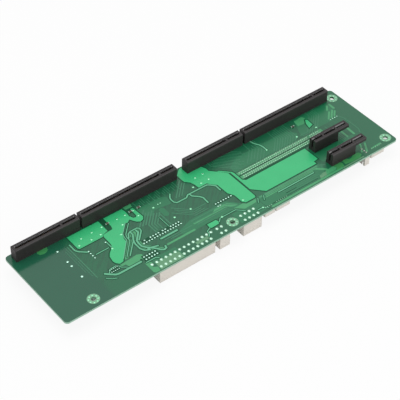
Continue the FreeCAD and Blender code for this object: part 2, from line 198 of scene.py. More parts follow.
class Bench:
    """One node tree under construction, for a material or the world."""

    def __init__(self, tree: bpy.types.NodeTree, material: bpy.types.Material | None = None) -> None:
        """Clear the tree.

        Args:
            tree: The tree.
            material: The material that it belongs to, if it isn't the world's.
        """
        self.tree = tree
        self.tree.nodes.clear()
        self.material = material

    @classmethod
    def for_material(cls, name: str) -> Bench:
        """Start a material.

        Args:
            name: The material's name.

        Returns:
            A bench for its tree.
        """
        material = bpy.data.materials.new(name)
        material.use_nodes = True
        return cls(material.node_tree, material)

    def node(self, kind: str, settings: dict[str, object] | None = None,
             inputs: dict[int | str, object] | None = None, output: int | str = 0) -> Signal | None:
        """Add a node, set it up and join its sockets.

        Args:
            kind: The node's type.
            settings: Its properties, which are set first.
            inputs: Values or signals for its input sockets, by name or number.
            output: The output socket to go on with.

        Returns:
            That output as a signal, or None from a node that has no outputs.
        """
        made = self.tree.nodes.new(kind)
        for name, value in (settings or {}).items():
            setattr(made, name, value)
        for name, value in (inputs or {}).items():
            if isinstance(value, Signal):
                self.tree.links.new(value.socket, made.inputs[name])
            else:
                made.inputs[name].default_value = value
        return Signal(self, made.outputs[output]) if len(made.outputs) else None

    def place(self) -> Signal:
        """Give the object's own coordinates, in metres."""
        return self.node("ShaderNodeTexCoord", output="Object")

    def on_board(self, axis: str) -> Signal:
        """Give one of the object's own coordinates as millimetres on the board's upper face."""
        start = getattr(Board.from_frame().spot(Face.UPPER, 0.0, 0.0, 0.0), axis.lower())
        return (self.node("ShaderNodeSeparateXYZ", {}, {0: self.place()}, axis) - start) * (1 / MILLIMETRE)

    def facing(self, axis: str) -> Signal:
        """Give how much the surface faces along an axis, either way."""
        normal = self.node("ShaderNodeTexCoord", output="Normal")
        return abs(self.node("ShaderNodeSeparateXYZ", {}, {0: normal}, axis))

    def noise(self, grain: float, detail: float = 3.0) -> Signal:
        """Give a noise between 0 and 1.

        Args:
            grain: The size of its largest spots.
            detail: How many finer layers it has.

        Returns:
            The noise.
        """
        inputs = {"Vector": self.place(), "Scale": 1 / (grain * MILLIMETRE), "Detail": detail}
        return self.node("ShaderNodeTexNoise", {}, inputs)

    def mix(self, factor: Signal | float, first: Signal | Colour, second: Signal | Colour) -> Signal:
        """Mix two colours.

        Args:
            factor: 0 for the first colour, 1 for the second.
            first: A colour or a signal.
            second: A colour or a signal.

        Returns:
            The mixed colour.
        """
        # The node's colours are its inputs 6 and 7 and its output 2.
        pair = [value if isinstance(value, Signal) else (*value, 1.0) for value in (first, second)]
        return self.node("ShaderNodeMix", {"data_type": "RGBA"}, {0: factor, 6: pair[0], 7: pair[1]}, 2)

    def step(self, value: Signal, low: float, high: float) -> Signal:
        """Rise smoothly from 0 at a low value to 1 at a high one.

        Args:
            value: The signal that rises.
            low: Where the step starts.
            high: Where it ends.

        Returns:
            The step.
        """
        inputs = {"Value": value, "From Min": low, "From Max": high}
        return self.node("ShaderNodeMapRange", {"interpolation_type": "SMOOTHSTEP"}, inputs)

    def bump(self, height: Signal, depth: float, strength: float = 0.5) -> Signal:
        """Turn a height between 0 and 1 into a normal.

        Args:
            height: The height.
            depth: How deep it is.
            strength: How much of it shows.

        Returns:
            The normal.
        """
        inputs = {"Height": height, "Distance": depth * MILLIMETRE, "Strength": strength}
        return self.node("ShaderNodeBump", {}, inputs)

    def surface(self, inputs: dict[int | str, object]) -> bpy.types.Material:
        """Finish a material with a Principled surface.

        Args:
            inputs: Values or signals for the surface's sockets.

        Returns:
            The material.
        """
        shader = self.node("ShaderNodeBsdfPrincipled", {}, inputs)
        self.node("ShaderNodeOutputMaterial", {}, {"Surface": shader})
        return self.material


@dataclass(frozen=True)
class SolderMask:
    """Satin solder mask on glass laminate, greyer left of the inner copper planes, with pale cut edges."""

    plain: Colour = (0.0103, 0.1117, 0.059)
    over_planes: Colour = (0.002, 0.128, 0.052)
    shade: Colour = (0.003, 0.075, 0.034)
    cut_edge: Colour = (0.34, 0.56, 0.43)
    edge_grain: Colour = (0.24, 0.42, 0.30)
    planes_left: float = 39.0
    streaks_right: float = 190.5
    streaks_front: float = 17.7
    fade: float = 6.0
    streak_length: float = 16.0
    streak_width: float = 1.8
    streak_turn: float = 45.0
    streak_limits: Point2 = (0.42, 0.66)
    streak_shade: float = 0.6
    blotch_grain: float = 14.0
    blotch_shade: float = 0.30
    weave: float = 0.55
    weave_shade: float = 0.12
    weave_height: float = 0.3
    laminate_grain: float = 0.5
    peel_grain: float = 0.9
    peel_height: float = 0.7
    relief: float = 0.012
    roughness: float = 0.15
    planes_roughness: float = 0.15
    blotch_roughness: float = 0.06
    edge_roughness: float = 0.3

    def make(self) -> bpy.types.Material:
        """Make the material.

        Returns:
            The material.
        """
        bench = Bench.for_material("solder_mask")
        x = bench.on_board("X")
        planes = bench.step(x, self.planes_left, self.planes_left + self.fade)
        inner = planes * (1 - bench.step(x, self.streaks_right - self.fade, self.streaks_right))
        inner = inner * bench.step(bench.on_board("Y"), self.streaks_front - self.fade, self.streaks_front)
        blotch = bench.noise(self.blotch_grain)
        weave = self.threads(bench, "X") * self.threads(bench, "Y")
        colour = bench.mix(planes, self.plain, self.over_planes)
        colour = bench.mix(self.streak_shade * inner * self.streaks(bench), colour, self.shade)
        colour = bench.mix(self.blotch_shade * blotch + self.weave_shade * weave, colour, self.shade)
        cut = bench.facing("Z") < FACING_LIMIT
        laminate = bench.mix(bench.noise(self.laminate_grain), self.cut_edge, self.edge_grain)
        amount = self.roughness + self.planes_roughness * planes + self.blotch_roughness * blotch
        peel = bench.noise(self.peel_grain)
        return bench.surface({
            "Base Color": bench.mix(cut, colour, laminate),
            "Roughness": amount + self.edge_roughness * cut,
            "Specular IOR Level": MASK_GLOSS,
            "Normal": bench.bump(self.peel_height * peel + self.weave_height * weave, self.relief),
        })

    def streaks(self, bench: Bench) -> Signal:
        """Give the dim slanting streaks of the inner traces.

        Args:
            bench: The material's bench.

        Returns:
            Their strength.
        """
        turned = bench.node("ShaderNodeMapping", {"vector_type": "TEXTURE"}, {
            "Vector": bench.place(),
            "Rotation": (0.0, 0.0, math.radians(self.streak_turn)),
            "Scale": (self.streak_length * MILLIMETRE, self.streak_width * MILLIMETRE, 1.0),
        })
        inputs = {"Vector": turned, "Scale": 1.0, "Detail": FINE_DETAIL}
        return bench.step(bench.node("ShaderNodeTexNoise", {}, inputs), *self.streak_limits)

    def threads(self, bench: Bench, axis: str) -> Signal:
        """Make the faint glass threads that run one way.

        Args:
            bench: The material's bench.
            axis: The axis that they cross.

        Returns:
            Their height.
        """
        inputs = {"Vector": bench.place(), "Scale": WAVE_SPACING / (self.weave * MILLIMETRE)}
        return bench.node("ShaderNodeTexWave", {"bands_direction": axis}, inputs, 1)


@dataclass(frozen=True)
class MaskedCopper:
    """Solder mask over copper, which shines through it."""

    name: str
    colour: Colour
    shade: Colour
    roughness: float = 0.30
    gloss: float = MASK_GLOSS
    cloud_grain: float = 9.0
    cloud_roughness: float = 0.06
    speck_grain: float = 0.6
    speck_shade: float = 0.25
    relief: float = 0.010

    def make(self) -> bpy.types.Material:
        """Make the material.

        Returns:
            The material.
        """
        bench = Bench.for_material(self.name)
        cloud = bench.noise(self.cloud_grain)
        speck = bench.noise(self.speck_grain)
        shaded = (1 - self.speck_shade) * cloud + self.speck_shade * speck
        return bench.surface({
            "Base Color": bench.mix(shaded, self.colour, self.shade),
            "Roughness": self.roughness + self.cloud_roughness * cloud,
            "Specular IOR Level": self.gloss,
            "Normal": bench.bump(speck, self.relief),
        })


@dataclass(frozen=True)
class MouldedPlastic:
    """Moulded plastic with a fine spark-eroded grain, faint flow marks and, on slots, a painted highlight
    on the lips and upper edges.
    """

    name: str
    colour: Colour
    shade: Colour
    roughness: float
    gloss: float = 0.5
    # Painted highlight on slot housings: its slot rows, its colour, its share on the other upper edges, its
    # reach from a row, and the heights where it rises and stops.
    highlight_rows: tuple[float, ...] = ()
    rubbed: Colour = (0.230, 0.230, 0.230)
    rim_highlight: float = 0.10
    highlight_reach: float = 1.8
    highlight_level: Point2 = (9.2, 10.8)
    highlight_top: float = 11.22
    flow_grain: float = 6.0
    flow_roughness: float = 0.06
    grain: float = 0.22
    grain_shade: float = 0.35
    grain_roughness: float = 0.14
    relief: float = 0.012
    relief_strength: float = 0.6

    def make(self) -> bpy.types.Material:
        """Make the material.

        Returns:
            The material.
        """
        bench = Bench.for_material(self.name)
        flow = bench.noise(self.flow_grain, FINE_DETAIL)
        grain = bench.noise(self.grain, FINE_DETAIL)
        shaded = (1 - self.grain_shade) * flow + self.grain_shade * grain
        colour = bench.mix(shaded, self.colour, self.shade)
        # Painted highlight: the slots' lips and upper edges are lightened in colour to stand for the glints
        # on them.
        if self.highlight_rows:
            colour = bench.mix(self.painted_highlight(bench), colour, self.rubbed)
        return bench.surface({
            "Base Color": colour,
            "Roughness": self.roughness + self.grain_roughness * grain + self.flow_roughness * flow,
            "Specular IOR Level": self.gloss,
            "Normal": bench.bump(grain, self.relief, self.relief_strength),
        })

    def painted_highlight(self, bench: Bench) -> Signal:
        """Give the painted highlight: 1 at the lips of the upper slots, a little on their other upper
        edges, and 0 below.

        Args:
            bench: The material's bench.

        Returns:
            The signal.
        """
        y = bench.on_board("Y")
        z = bench.on_board("Z")
        amount = self.rim_highlight
        for row in self.highlight_rows:
            amount = (abs(y - row) < self.highlight_reach) | amount
        amount = amount * bench.step(z, *self.highlight_level) * (z < self.highlight_top)
        return amount * (bench.facing("X") < FACING_LIMIT)


@dataclass(frozen=True)
class PlatedMetal:
    """Plated or soldered metal, a little uneven in tone and gloss."""

    name: str
    colour: Colour
    tarnish: Colour
    roughness: float
    film_grain: float = 1.2
    film_roughness: float = 0.16
    pit_grain: float = 0.25
    relief: float = 0.008

    def make(self) -> bpy.types.Material:
        """Make the material.

        Returns:
            The material.
        """
        bench = Bench.for_material(self.name)
        film = bench.noise(self.film_grain)
        pits = bench.noise(self.pit_grain, FINE_DETAIL)
        return bench.surface({
            "Base Color": bench.mix(film, self.colour, self.tarnish),
            "Metallic": 1.0,
            "Roughness": self.roughness + self.film_roughness * film,
            "Normal": bench.bump(pits, self.relief),
        })


class Finish(Enum):
    """Every finish of the part."""

    MASK = SolderMask()
    GAP = MaskedCopper("gap_mask", (0.004, 0.066, 0.028), (0.008, 0.088, 0.040), gloss=0.22)
    POUR = MaskedCopper("pour_mask", (0.036, 0.540, 0.200), (0.028, 0.455, 0.170))
    PLANE = MaskedCopper("plane_mask", (0.008, 0.190, 0.076), (0.004, 0.150, 0.058))
    DIM_POUR = MaskedCopper("dim_pour_mask", (0.070, 0.420, 0.165), (0.035, 0.260, 0.105))
    LEAF_POUR = MaskedCopper("leaf_pour_mask", (0.048, 0.330, 0.092), (0.030, 0.220, 0.068))
    PALE_POUR = MaskedCopper("pale_pour_mask", (0.135, 0.350, 0.180), (0.085, 0.265, 0.130))
    TRACE = MaskedCopper("trace_mask", (0.130, 0.500, 0.280), (0.095, 0.410, 0.220))
    FINE_TRACE = MaskedCopper("fine_trace_mask", (0.040, 0.245, 0.125), (0.018, 0.165, 0.075))
    RING = MaskedCopper("ring_mask", (0.230, 0.480, 0.295), (0.180, 0.400, 0.235), 0.2)
    STUD = PlatedMetal("stud_solder", (0.28, 0.62, 0.40), (0.22, 0.53, 0.33), 0.36)
    # The bore plating is darkened into painted shade, which stands for the shade inside the fixing holes.
    SHADED_BORE = PlatedMetal("bore_plating_painted_shade", (0.16, 0.34, 0.22), (0.10, 0.24, 0.15), 0.45)
    # The black moulding gets the painted highlight at the lips of these slot rows.
    BLACK = MouldedPlastic("black_moulding", (0.0195, 0.0158, 0.0164), (0.0265, 0.0215, 0.0222), 0.46, 0.42,
                           (HOST_ROW, REAR_CARD_ROW, FRONT_CARD_ROW))
    WHITE = MouldedPlastic("nylon_moulding", (0.78, 0.74, 0.67), (0.71, 0.665, 0.60), 0.42)
    GILT = PlatedMetal("gilt_plating", (0.52, 0.41, 0.23), (0.40, 0.31, 0.17), 0.26)
    TIN = PlatedMetal("tin_plating", (0.74, 0.73, 0.70), (0.58, 0.57, 0.54), 0.28)
    SOLDER = PlatedMetal("bright_solder", (0.52, 0.81, 0.67), (0.43, 0.71, 0.58), 0.30)
    JOINT = PlatedMetal("joint_solder", (0.50, 0.75, 0.59), (0.39, 0.62, 0.48), 0.32)
    TAIL = PlatedMetal("tail_solder", (0.30, 0.52, 0.36), (0.20, 0.38, 0.26), 0.36)
    MINT_SOLDER = PlatedMetal("mint_solder", (0.34, 0.77, 0.49), (0.27, 0.68, 0.41), 0.36)
    PAD_SOLDER = PlatedMetal("pad_solder", (0.50, 0.78, 0.64), (0.40, 0.66, 0.53), 0.34)
    DULL_SOLDER = PlatedMetal("dull_solder", (0.38, 0.46, 0.38), (0.24, 0.31, 0.25), 0.36)
    CERAMIC = MouldedPlastic("fired_ceramic", (0.090, 0.092, 0.062), (0.062, 0.064, 0.044), 0.45)

    @cached_property
    def material(self) -> bpy.types.Material:
        """Make the material, once."""
        return self.value.make()


class Draft:
    """The mesh of one piece, collected shape by shape in millimetres on the board."""

    def __init__(self, board: Board, face: Face = Face.UPPER) -> None:
        """Start an empty mesh.

        Args:
            board: The printed board.
            face: The face that the piece sits on.
        """
        self.board = board
        self.face = face
        self.points: list[Vector] = []
        self.faces: list[list[int]] = []

    def loft(self, rings: Sequence[Sequence[Point3]], closed: bool = False) -> None:
        """Skin a row of rings that have as many points each.

        Args:
            rings: The rings in order.
            closed: Whether the last ring joins the first. Otherwise both ends are closed by a face.
        """
        size = len(rings[0])
        count = len(rings)
        faces = [] if closed else [range(size), range((count - 1) * size, count * size)]
        for ring in range(count if closed else count - 1):
            base = ring * size
            above = (ring + 1) % count * size
            for index in range(size):
                following = (index + 1) % size
                faces.append((base + index, base + following, above + following, above + index))
        start = len(self.points)
        self.points += [self.board.spot(self.face, *point) for ring in rings for point in ring]
        self.faces += [[start + index for index in face] for face in faces]

    def slab(self, outline: Sequence[Point2], low: float, high: float) -> None:
        """Add a flat plate.

        Args:
            outline: Its outline.
            low: Height of its lower side.
            high: Height of its upper side.
        """
        self.loft([[(x, y, level) for x, y in outline] for level in (low, high)])

    def turned(self, place: Point2, profile: Sequence[Point2], sides: int, closed: bool = False) -> None:
        """Add a turned solid or ring that stands on the face.

        Args:
            place: Where its axis stands.
            profile: Radius and height of each turn, from the bottom.
            sides: How many flats approximate the circle.
            closed: Whether the profile is a loop, for a ring with a hole.
        """
        x, y = place
        shift = 0.0 if closed else 0.5
        turns = [math.tau * (index + shift) / sides for index in range(sides)]
        self.loft([[(x + radius * math.cos(turn), y + radius * math.sin(turn), height) for turn in turns]
                   for radius, height in profile], closed)

    def piece(self, name: str, sharp: float = 35.0) -> bpy.types.Object:
        """Turn the draft into an object.

        Args:
            name: The piece's name.
            sharp: Edges that turn by more than this angle stay sharp, in degrees.

        Returns:
            The object.
        """
        mesh = bpy.data.meshes.new(name)
        mesh.from_pydata(self.points, [], self.faces)
        work = bmesh.new()
        work.from_mesh(mesh)
        bmesh.ops.remove_doubles(work, verts=work.verts, dist=WELD)
        bmesh.ops.dissolve_degenerate(work, edges=work.edges, dist=WELD)
        bmesh.ops.recalc_face_normals(work, faces=work.faces)
        work.to_mesh(mesh)
        work.free()
        return new_object(name, mesh, sharp)


def new_object(name: str, mesh: bpy.types.Mesh, sharp: float) -> bpy.types.Object:
    """Put a mesh in the scene, smooth except at its sharp edges.

    Args:
        name: The piece's name.
        mesh: Its mesh.
        sharp: Edges that turn by more than this angle stay sharp, in degrees.

    Returns:
        The object.
    """
    mesh.shade_smooth()
    mesh.set_sharp_from_angle(angle=math.radians(sharp))
    piece = bpy.data.objects.new(name, mesh)
    bpy.context.scene.collection.objects.link(piece)
    return piece


def dress(piece: bpy.types.Object, finish: Finish) -> None:
    """Give a piece its finish, and report it.

    Args:
        piece: The piece.
        finish: Its finish.
    """
    piece.data.materials.clear()
    piece.data.materials.append(finish.material)
    log.info("%s: %d faces, %s", piece.name, len(piece.data.polygons), finish.material.name)


def seat(piece: bpy.types.Object, slot: Slot, finish: Finish, *stands_for: str) -> None:
    """Dress a piece and let it ride on the part.

    Args:
        piece: The piece.
        slot: The record's slot that it belongs to; not used.
        finish: Its finish.
        stands_for: CAD nodes that it replaces.
    """
    dress(piece, finish)
    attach(piece, ROOT_BODY)
    if stands_for:
        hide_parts(*stands_for)


@dataclass(frozen=True)
class Rounding:
    """Small rounds on the sharp edges of a copied CAD node, as moulding and plating leave them."""

    width: float
    segments: int = 2
    fullness: float = 0.6
    flat: float = 1.0
    sharp: float = 30.0
    shaded_sharp: float = 40.0

    def copy(self, node: str, name: str, top: float = math.inf) -> bpy.types.Object:
        """Copy a CAD node and round it.

        Args:
            node: The CAD node.
            name: The new piece's name.
            top: Height in the frame that the copy is trimmed to.

        Returns:
            The new object.
        """
        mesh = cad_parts[node].data.copy()
        work = bmesh.new()
        work.from_mesh(mesh)
        for vertex in work.verts:
            vertex.co.z = min(vertex.co.z, top)
        bmesh.ops.remove_doubles(work, verts=work.verts, dist=WELD)
        flat, limit = math.radians(self.flat), math.radians(self.sharp)
        bmesh.ops.dissolve_limit(work, angle_limit=flat, verts=work.verts, edges=work.edges)
        edges = [edge for edge in work.edges if edge.is_manifold and edge.calc_face_angle() > limit]
        bmesh.ops.bevel(work, geom=edges, offset=self.width * MILLIMETRE, offset_type="OFFSET",
                        segments=self.segments, profile=self.fullness, affect="EDGES", clamp_overlap=True)
        work.to_mesh(mesh)
        work.free()
        mesh.name = name
        return new_object(name, mesh, self.shaded_sharp)


@dataclass(frozen=True)
class Trace:
    """A printed trace: its width and the line that it follows."""

    width: float
    path: Path
    cap_steps: int = 4
    mitre_limit: float = 0.5

    def beside(self, distance: float) -> list[Point2]:
        """Shift the line sideways.

        Args:
            distance: How far to its left.

        Returns:
            The shifted line, mitred at its corners.
        """
        shifted = []
        for index, (x, y) in enumerate(self.path):
            before = self.path[max(index - 1, 0)]
            after = self.path[min(index + 1, len(self.path) - 1)]
            heading_in = Vector((x - before[0], y - before[1]))
            heading_out = Vector((after[0] - x, after[1] - y))
            heading_in = heading_in if heading_in.length else heading_out
            heading_out = heading_out if heading_out.length else heading_in
            left_in = Vector((-heading_in.y, heading_in.x)).normalized()
            left_out = Vector((-heading_out.y, heading_out.x)).normalized()
            middle = (left_in + left_out).normalized()
            reach = distance / max(middle.dot(left_in), self.mitre_limit)
            shifted.append((x + middle.x * reach, y + middle.y * reach))
        return shifted

    def outline(self) -> list[Point2]:
        """Give the trace's outline, with rounded ends.

        Returns:
            Points round it.
        """
        left = self.beside(self.width / 2)
        right = self.beside(-self.width / 2)
        far_end = self.cap(-1, left[-1], right[-1])
        near_end = self.cap(0, right[0], left[0])
        return [*far_end, *reversed(right[1:-1]), *near_end, *left[1:-1]]

    def cap(self, end: int, start: Point2, stop: Point2) -> list[Point2]:
        """Round one end of the outline.

        Args:
            end: 0 for the line's first point, -1 for its last.
            start: Where the rounding starts.
            stop: Where it stops.

        Returns:
            Points round the end.
        """
        centre = Vector(self.path[end])
        first = Vector(start) - centre
        ahead = Vector((first.y, -first.x))
        ring = []
        for step in range(self.cap_steps):
            turn = math.pi * step / self.cap_steps
            ring.append(tuple(centre + first * math.cos(turn) + ahead * math.sin(turn)))
        return [*ring, stop]


@dataclass(frozen=True)
class Bundle:
    """Parallel traces at an even pitch, with uneven ends where they have a stagger."""

    count: int
    pitch: float
    trace: Trace
    stagger: float = 0.0
    start_shares: tuple[float, ...] = (0.0, 0.5, 1.0, 0.25, 0.75)
    end_shares: tuple[float, ...] = (0.0, 1.0, 2 / 3, 1 / 3)

    def traces(self) -> Iterator[Trace]:
        """Give each trace of the bundle.

        Yields:
            The traces, from the given line on to its right.
        """
        for index in range(self.count):
            path = self.trace.beside(-index * self.pitch)
            path[0] = self.drawn_in(path[0], path[1], self.start_shares[index % len(self.start_shares)])
            path[-1] = self.drawn_in(path[-1], path[-2], self.end_shares[index % len(self.end_shares)])
            yield Trace(self.trace.width, tuple(path))

    def drawn_in(self, end: Point2, towards: Point2, share: float) -> Point2:
        """Shorten a trace at one end.

        Args:
            end: The end.
            towards: The next point of its path.
            share: How much of the stagger to take off.

        Returns:
            The new end.
        """
        heading = Vector(towards) - Vector(end)
        taken = max(0.0, min(self.stagger * share, heading.length - 2 * self.trace.width))
        return tuple(Vector(end) + heading.normalized() * taken)


def grown(outline: Path, margin: float) -> list[Point2]:
    """Push a closed outline outwards.

    Args:
        outline: The outline.
        margin: How far it moves.

    Returns:
        The larger outline.
    """
    following = (*outline[1:], outline[0])
    area = sum(here[0] * ahead[1] - ahead[0] * here[1] for here, ahead in zip(outline, following))
    looped = Trace(0.0, (outline[-1], *outline, outline[0]))
    return looped.beside(-math.copysign(margin, area))[1:-1]


@dataclass
class PrintedCopper:
    """Copper of one face under the solder mask, in thin layers from the lowest to the highest."""

    board: Board
    face: Face
    name: str
    pours: tuple[Path, ...] = ()
    planes: tuple[Path, ...] = ()
    dim_pours: tuple[Path, ...] = ()
    leaf_pours: tuple[Path, ...] = ()
    pale_pours: tuple[Path, ...] = ()
    traces: tuple[Trace, ...] = ()
    bundles: tuple[Bundle, ...] = ()
    clearings: tuple[Path, ...] = ()
    gap: float = 0.9
    trace_gap: float = 0.6
    rise: float = 0.02
    layer: float = 0.009

    def build(self) -> None:
        """Build and dress the copper."""
        gaps = [grown(outline, self.gap) for outline in self.pours]
        gaps += [Trace(trace.width + 2 * self.trace_gap, trace.path).outline() for trace in self.traces]
        layers = (
            ("planes", self.planes, Finish.PLANE),
            ("dim_pours", self.dim_pours, Finish.DIM_POUR),
            ("leaf_pours", self.leaf_pours, Finish.LEAF_POUR),
            ("pale_pours", self.pale_pours, Finish.PALE_POUR),
            ("fine_traces", [trace.outline() for bundle in self.bundles for trace in bundle.traces()],
             Finish.FINE_TRACE),
            ("gaps", [*gaps, *self.clearings], Finish.GAP),
            ("pours", self.pours, Finish.POUR),
            ("traces", [trace.outline() for trace in self.traces], Finish.TRACE),
        )
        rise = self.rise
        for part, outlines, finish in layers:
            if outlines:
                draft = Draft(self.board, self.face)
                for index, outline in enumerate(outlines):
                    draft.slab(outline, -SUNK, rise + self.layer * index / len(outlines))
                seat(draft.piece(f"{self.name}_{part}"), Slot.BOARD, finish)
                rise += self.layer


class Plating(Enum):
    """Looks of the solder-filled pads. Their pieces have these names."""

    BRIGHT = Finish.SOLDER
    MINT = Finish.MINT_SOLDER
    PALE = Finish.PAD_SOLDER


@dataclass(frozen=True)
class PadRow:
    """Round solder-filled pads in a row."""

    radius: float
    start: Point2
    step: Point2 = (0.0, 0.0)
    count: int = 1

    def places(self) -> Iterator[Point2]:
        """Give each pad's place."""
        for index in range(self.count):
            yield self.start[0] + index * self.step[0], self.start[1] + index * self.step[1]


@dataclass
class PlatedPads:
    """Bare plated copper: fixing rings with their barrels, and solder-filled vias and pads."""

    board: Board
    holes: Path
    rows: dict[Plating, tuple[PadRow, ...]]
    hole_radius: float = 2.0
    barrel_wall: float = 0.08
    barrel_sides: int = 32
    ring_radius: float = 4.8
    ring_rise: float = 0.07
    ring_sides: int = 40
    studs: int = 8
    stud_circle: float = 3.55
    stud_radius: float = 0.92
    dome_foot: float = 0.05
    dome_rise: float = 0.24
    dome_shares: Path = ((0.82, 0.55), (0.5, 0.88), (0.12, 1.0))
    dome_sides: int = 14

    def build(self) -> None:
        """Build and dress the pads."""
        hole, ring, top = self.hole_radius, self.ring_radius, self.ring_rise
        ring_loop = ((hole, -SUNK), (ring, -SUNK), (ring, top), (hole, top))
        for face in Face:
            name = face.name.lower()
            rings = Draft(self.board, face)
            studs = Draft(self.board, face)
            for x, y in self.holes:
                rings.turned((x, y), ring_loop, self.ring_sides, closed=True)
                for index in range(self.studs):
                    turn = math.tau * (index + 0.5) / self.studs
                    place = (x + self.stud_circle * math.cos(turn), y + self.stud_circle * math.sin(turn))
                    self.add_dome(studs, place, self.stud_radius)
            seat(rings.piece(f"{name}_fixing_rings"), Slot.BOARD, Finish.RING)
            seat(studs.piece(f"{name}_ring_studs"), Slot.TINNED_METAL, Finish.STUD)
            for plating in Plating:
                pads = Draft(self.board, face)
                for row in self.rows[plating]:
                    for place in row.places():
                        self.add_dome(pads, place, row.radius)
                seat(pads.piece(f"{name}_{plating.name.lower()}_pads"), Slot.TINNED_METAL, plating.value)
        bore, far = hole - self.barrel_wall, -self.board.thickness
        barrel_loop = ((bore, far), (hole, far), (hole, 0.0), (bore, 0.0))
        barrels = Draft(self.board)
        for place in self.holes:
            barrels.turned(place, barrel_loop, self.barrel_sides, closed=True)
        # The barrels take the darkened bore plating, painted shade inside the holes.
        seat(barrels.piece("hole_barrels"), Slot.TINNED_METAL, Finish.SHADED_BORE)

    def add_dome(self, draft: Draft, place: Point2, radius: float) -> None:
        """Add a low dome of solder.

        Args:
            draft: The piece that gets it.
            place: Its place.
            radius: Its radius.
        """
        rise = self.dome_rise * radius
        profile = [(radius, -SUNK), (radius, self.dome_foot)]
        profile += [(across * radius, self.dome_foot + up * rise) for across, up in self.dome_shares]
        draft.turned(place, profile, self.dome_sides)


@dataclass
class PinJoints:
    """Solder domes on the upper face, over a header's pins or at given places."""

    board: Board
    name: str
    radius: float
    height: float
    finish: Finish
    places: Path = ()
    shares: Path = ((1.0, 0.08), (0.86, 0.42), (0.64, 0.74), (0.36, 0.94), (0.1, 1.0))
    sides: int = 16
    tip_height: float = 0.5
    pin_size: float = 1.3
    digits: int = 3

    def build(self) -> None:
        """Build and dress the domes."""
        draft = Draft(self.board)
        profile = [(self.radius, -SUNK)]
        profile += [(across * self.radius, up * self.height) for across, up in self.shares]
        for place in self.places or self.pins():
            draft.turned(place, profile, self.sides)
        seat(draft.piece(f"{self.name}_joints"), Slot.TINNED_METAL, self.finish)

    def pins(self) -> list[Point2]:
        """Find the centres of the header's square pins, by the corners of their tips over the board.

        Returns:
            One place for each pin.
        """
        low = self.board.low
        corners = set()
        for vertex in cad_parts[f"{self.name}_pins"].data.vertices:
            if vertex.co.z > self.board.high.z + self.tip_height * MILLIMETRE:
                corners.add((round((vertex.co.x - low.x) / MILLIMETRE, self.digits),
                             round((vertex.co.y - low.y) / MILLIMETRE, self.digits)))
        groups: list[list[Point2]] = []
        for x, y in sorted(corners):
            near = [group for group in groups if abs(group[0][0] - x) < self.pin_size
                    and abs(group[0][1] - y) < self.pin_size]
            if near:
                near[0].append((x, y))
            else:
                groups.append([(x, y)])
        return [tuple(sum(values) / len(values) for values in zip(*group)) for group in groups]


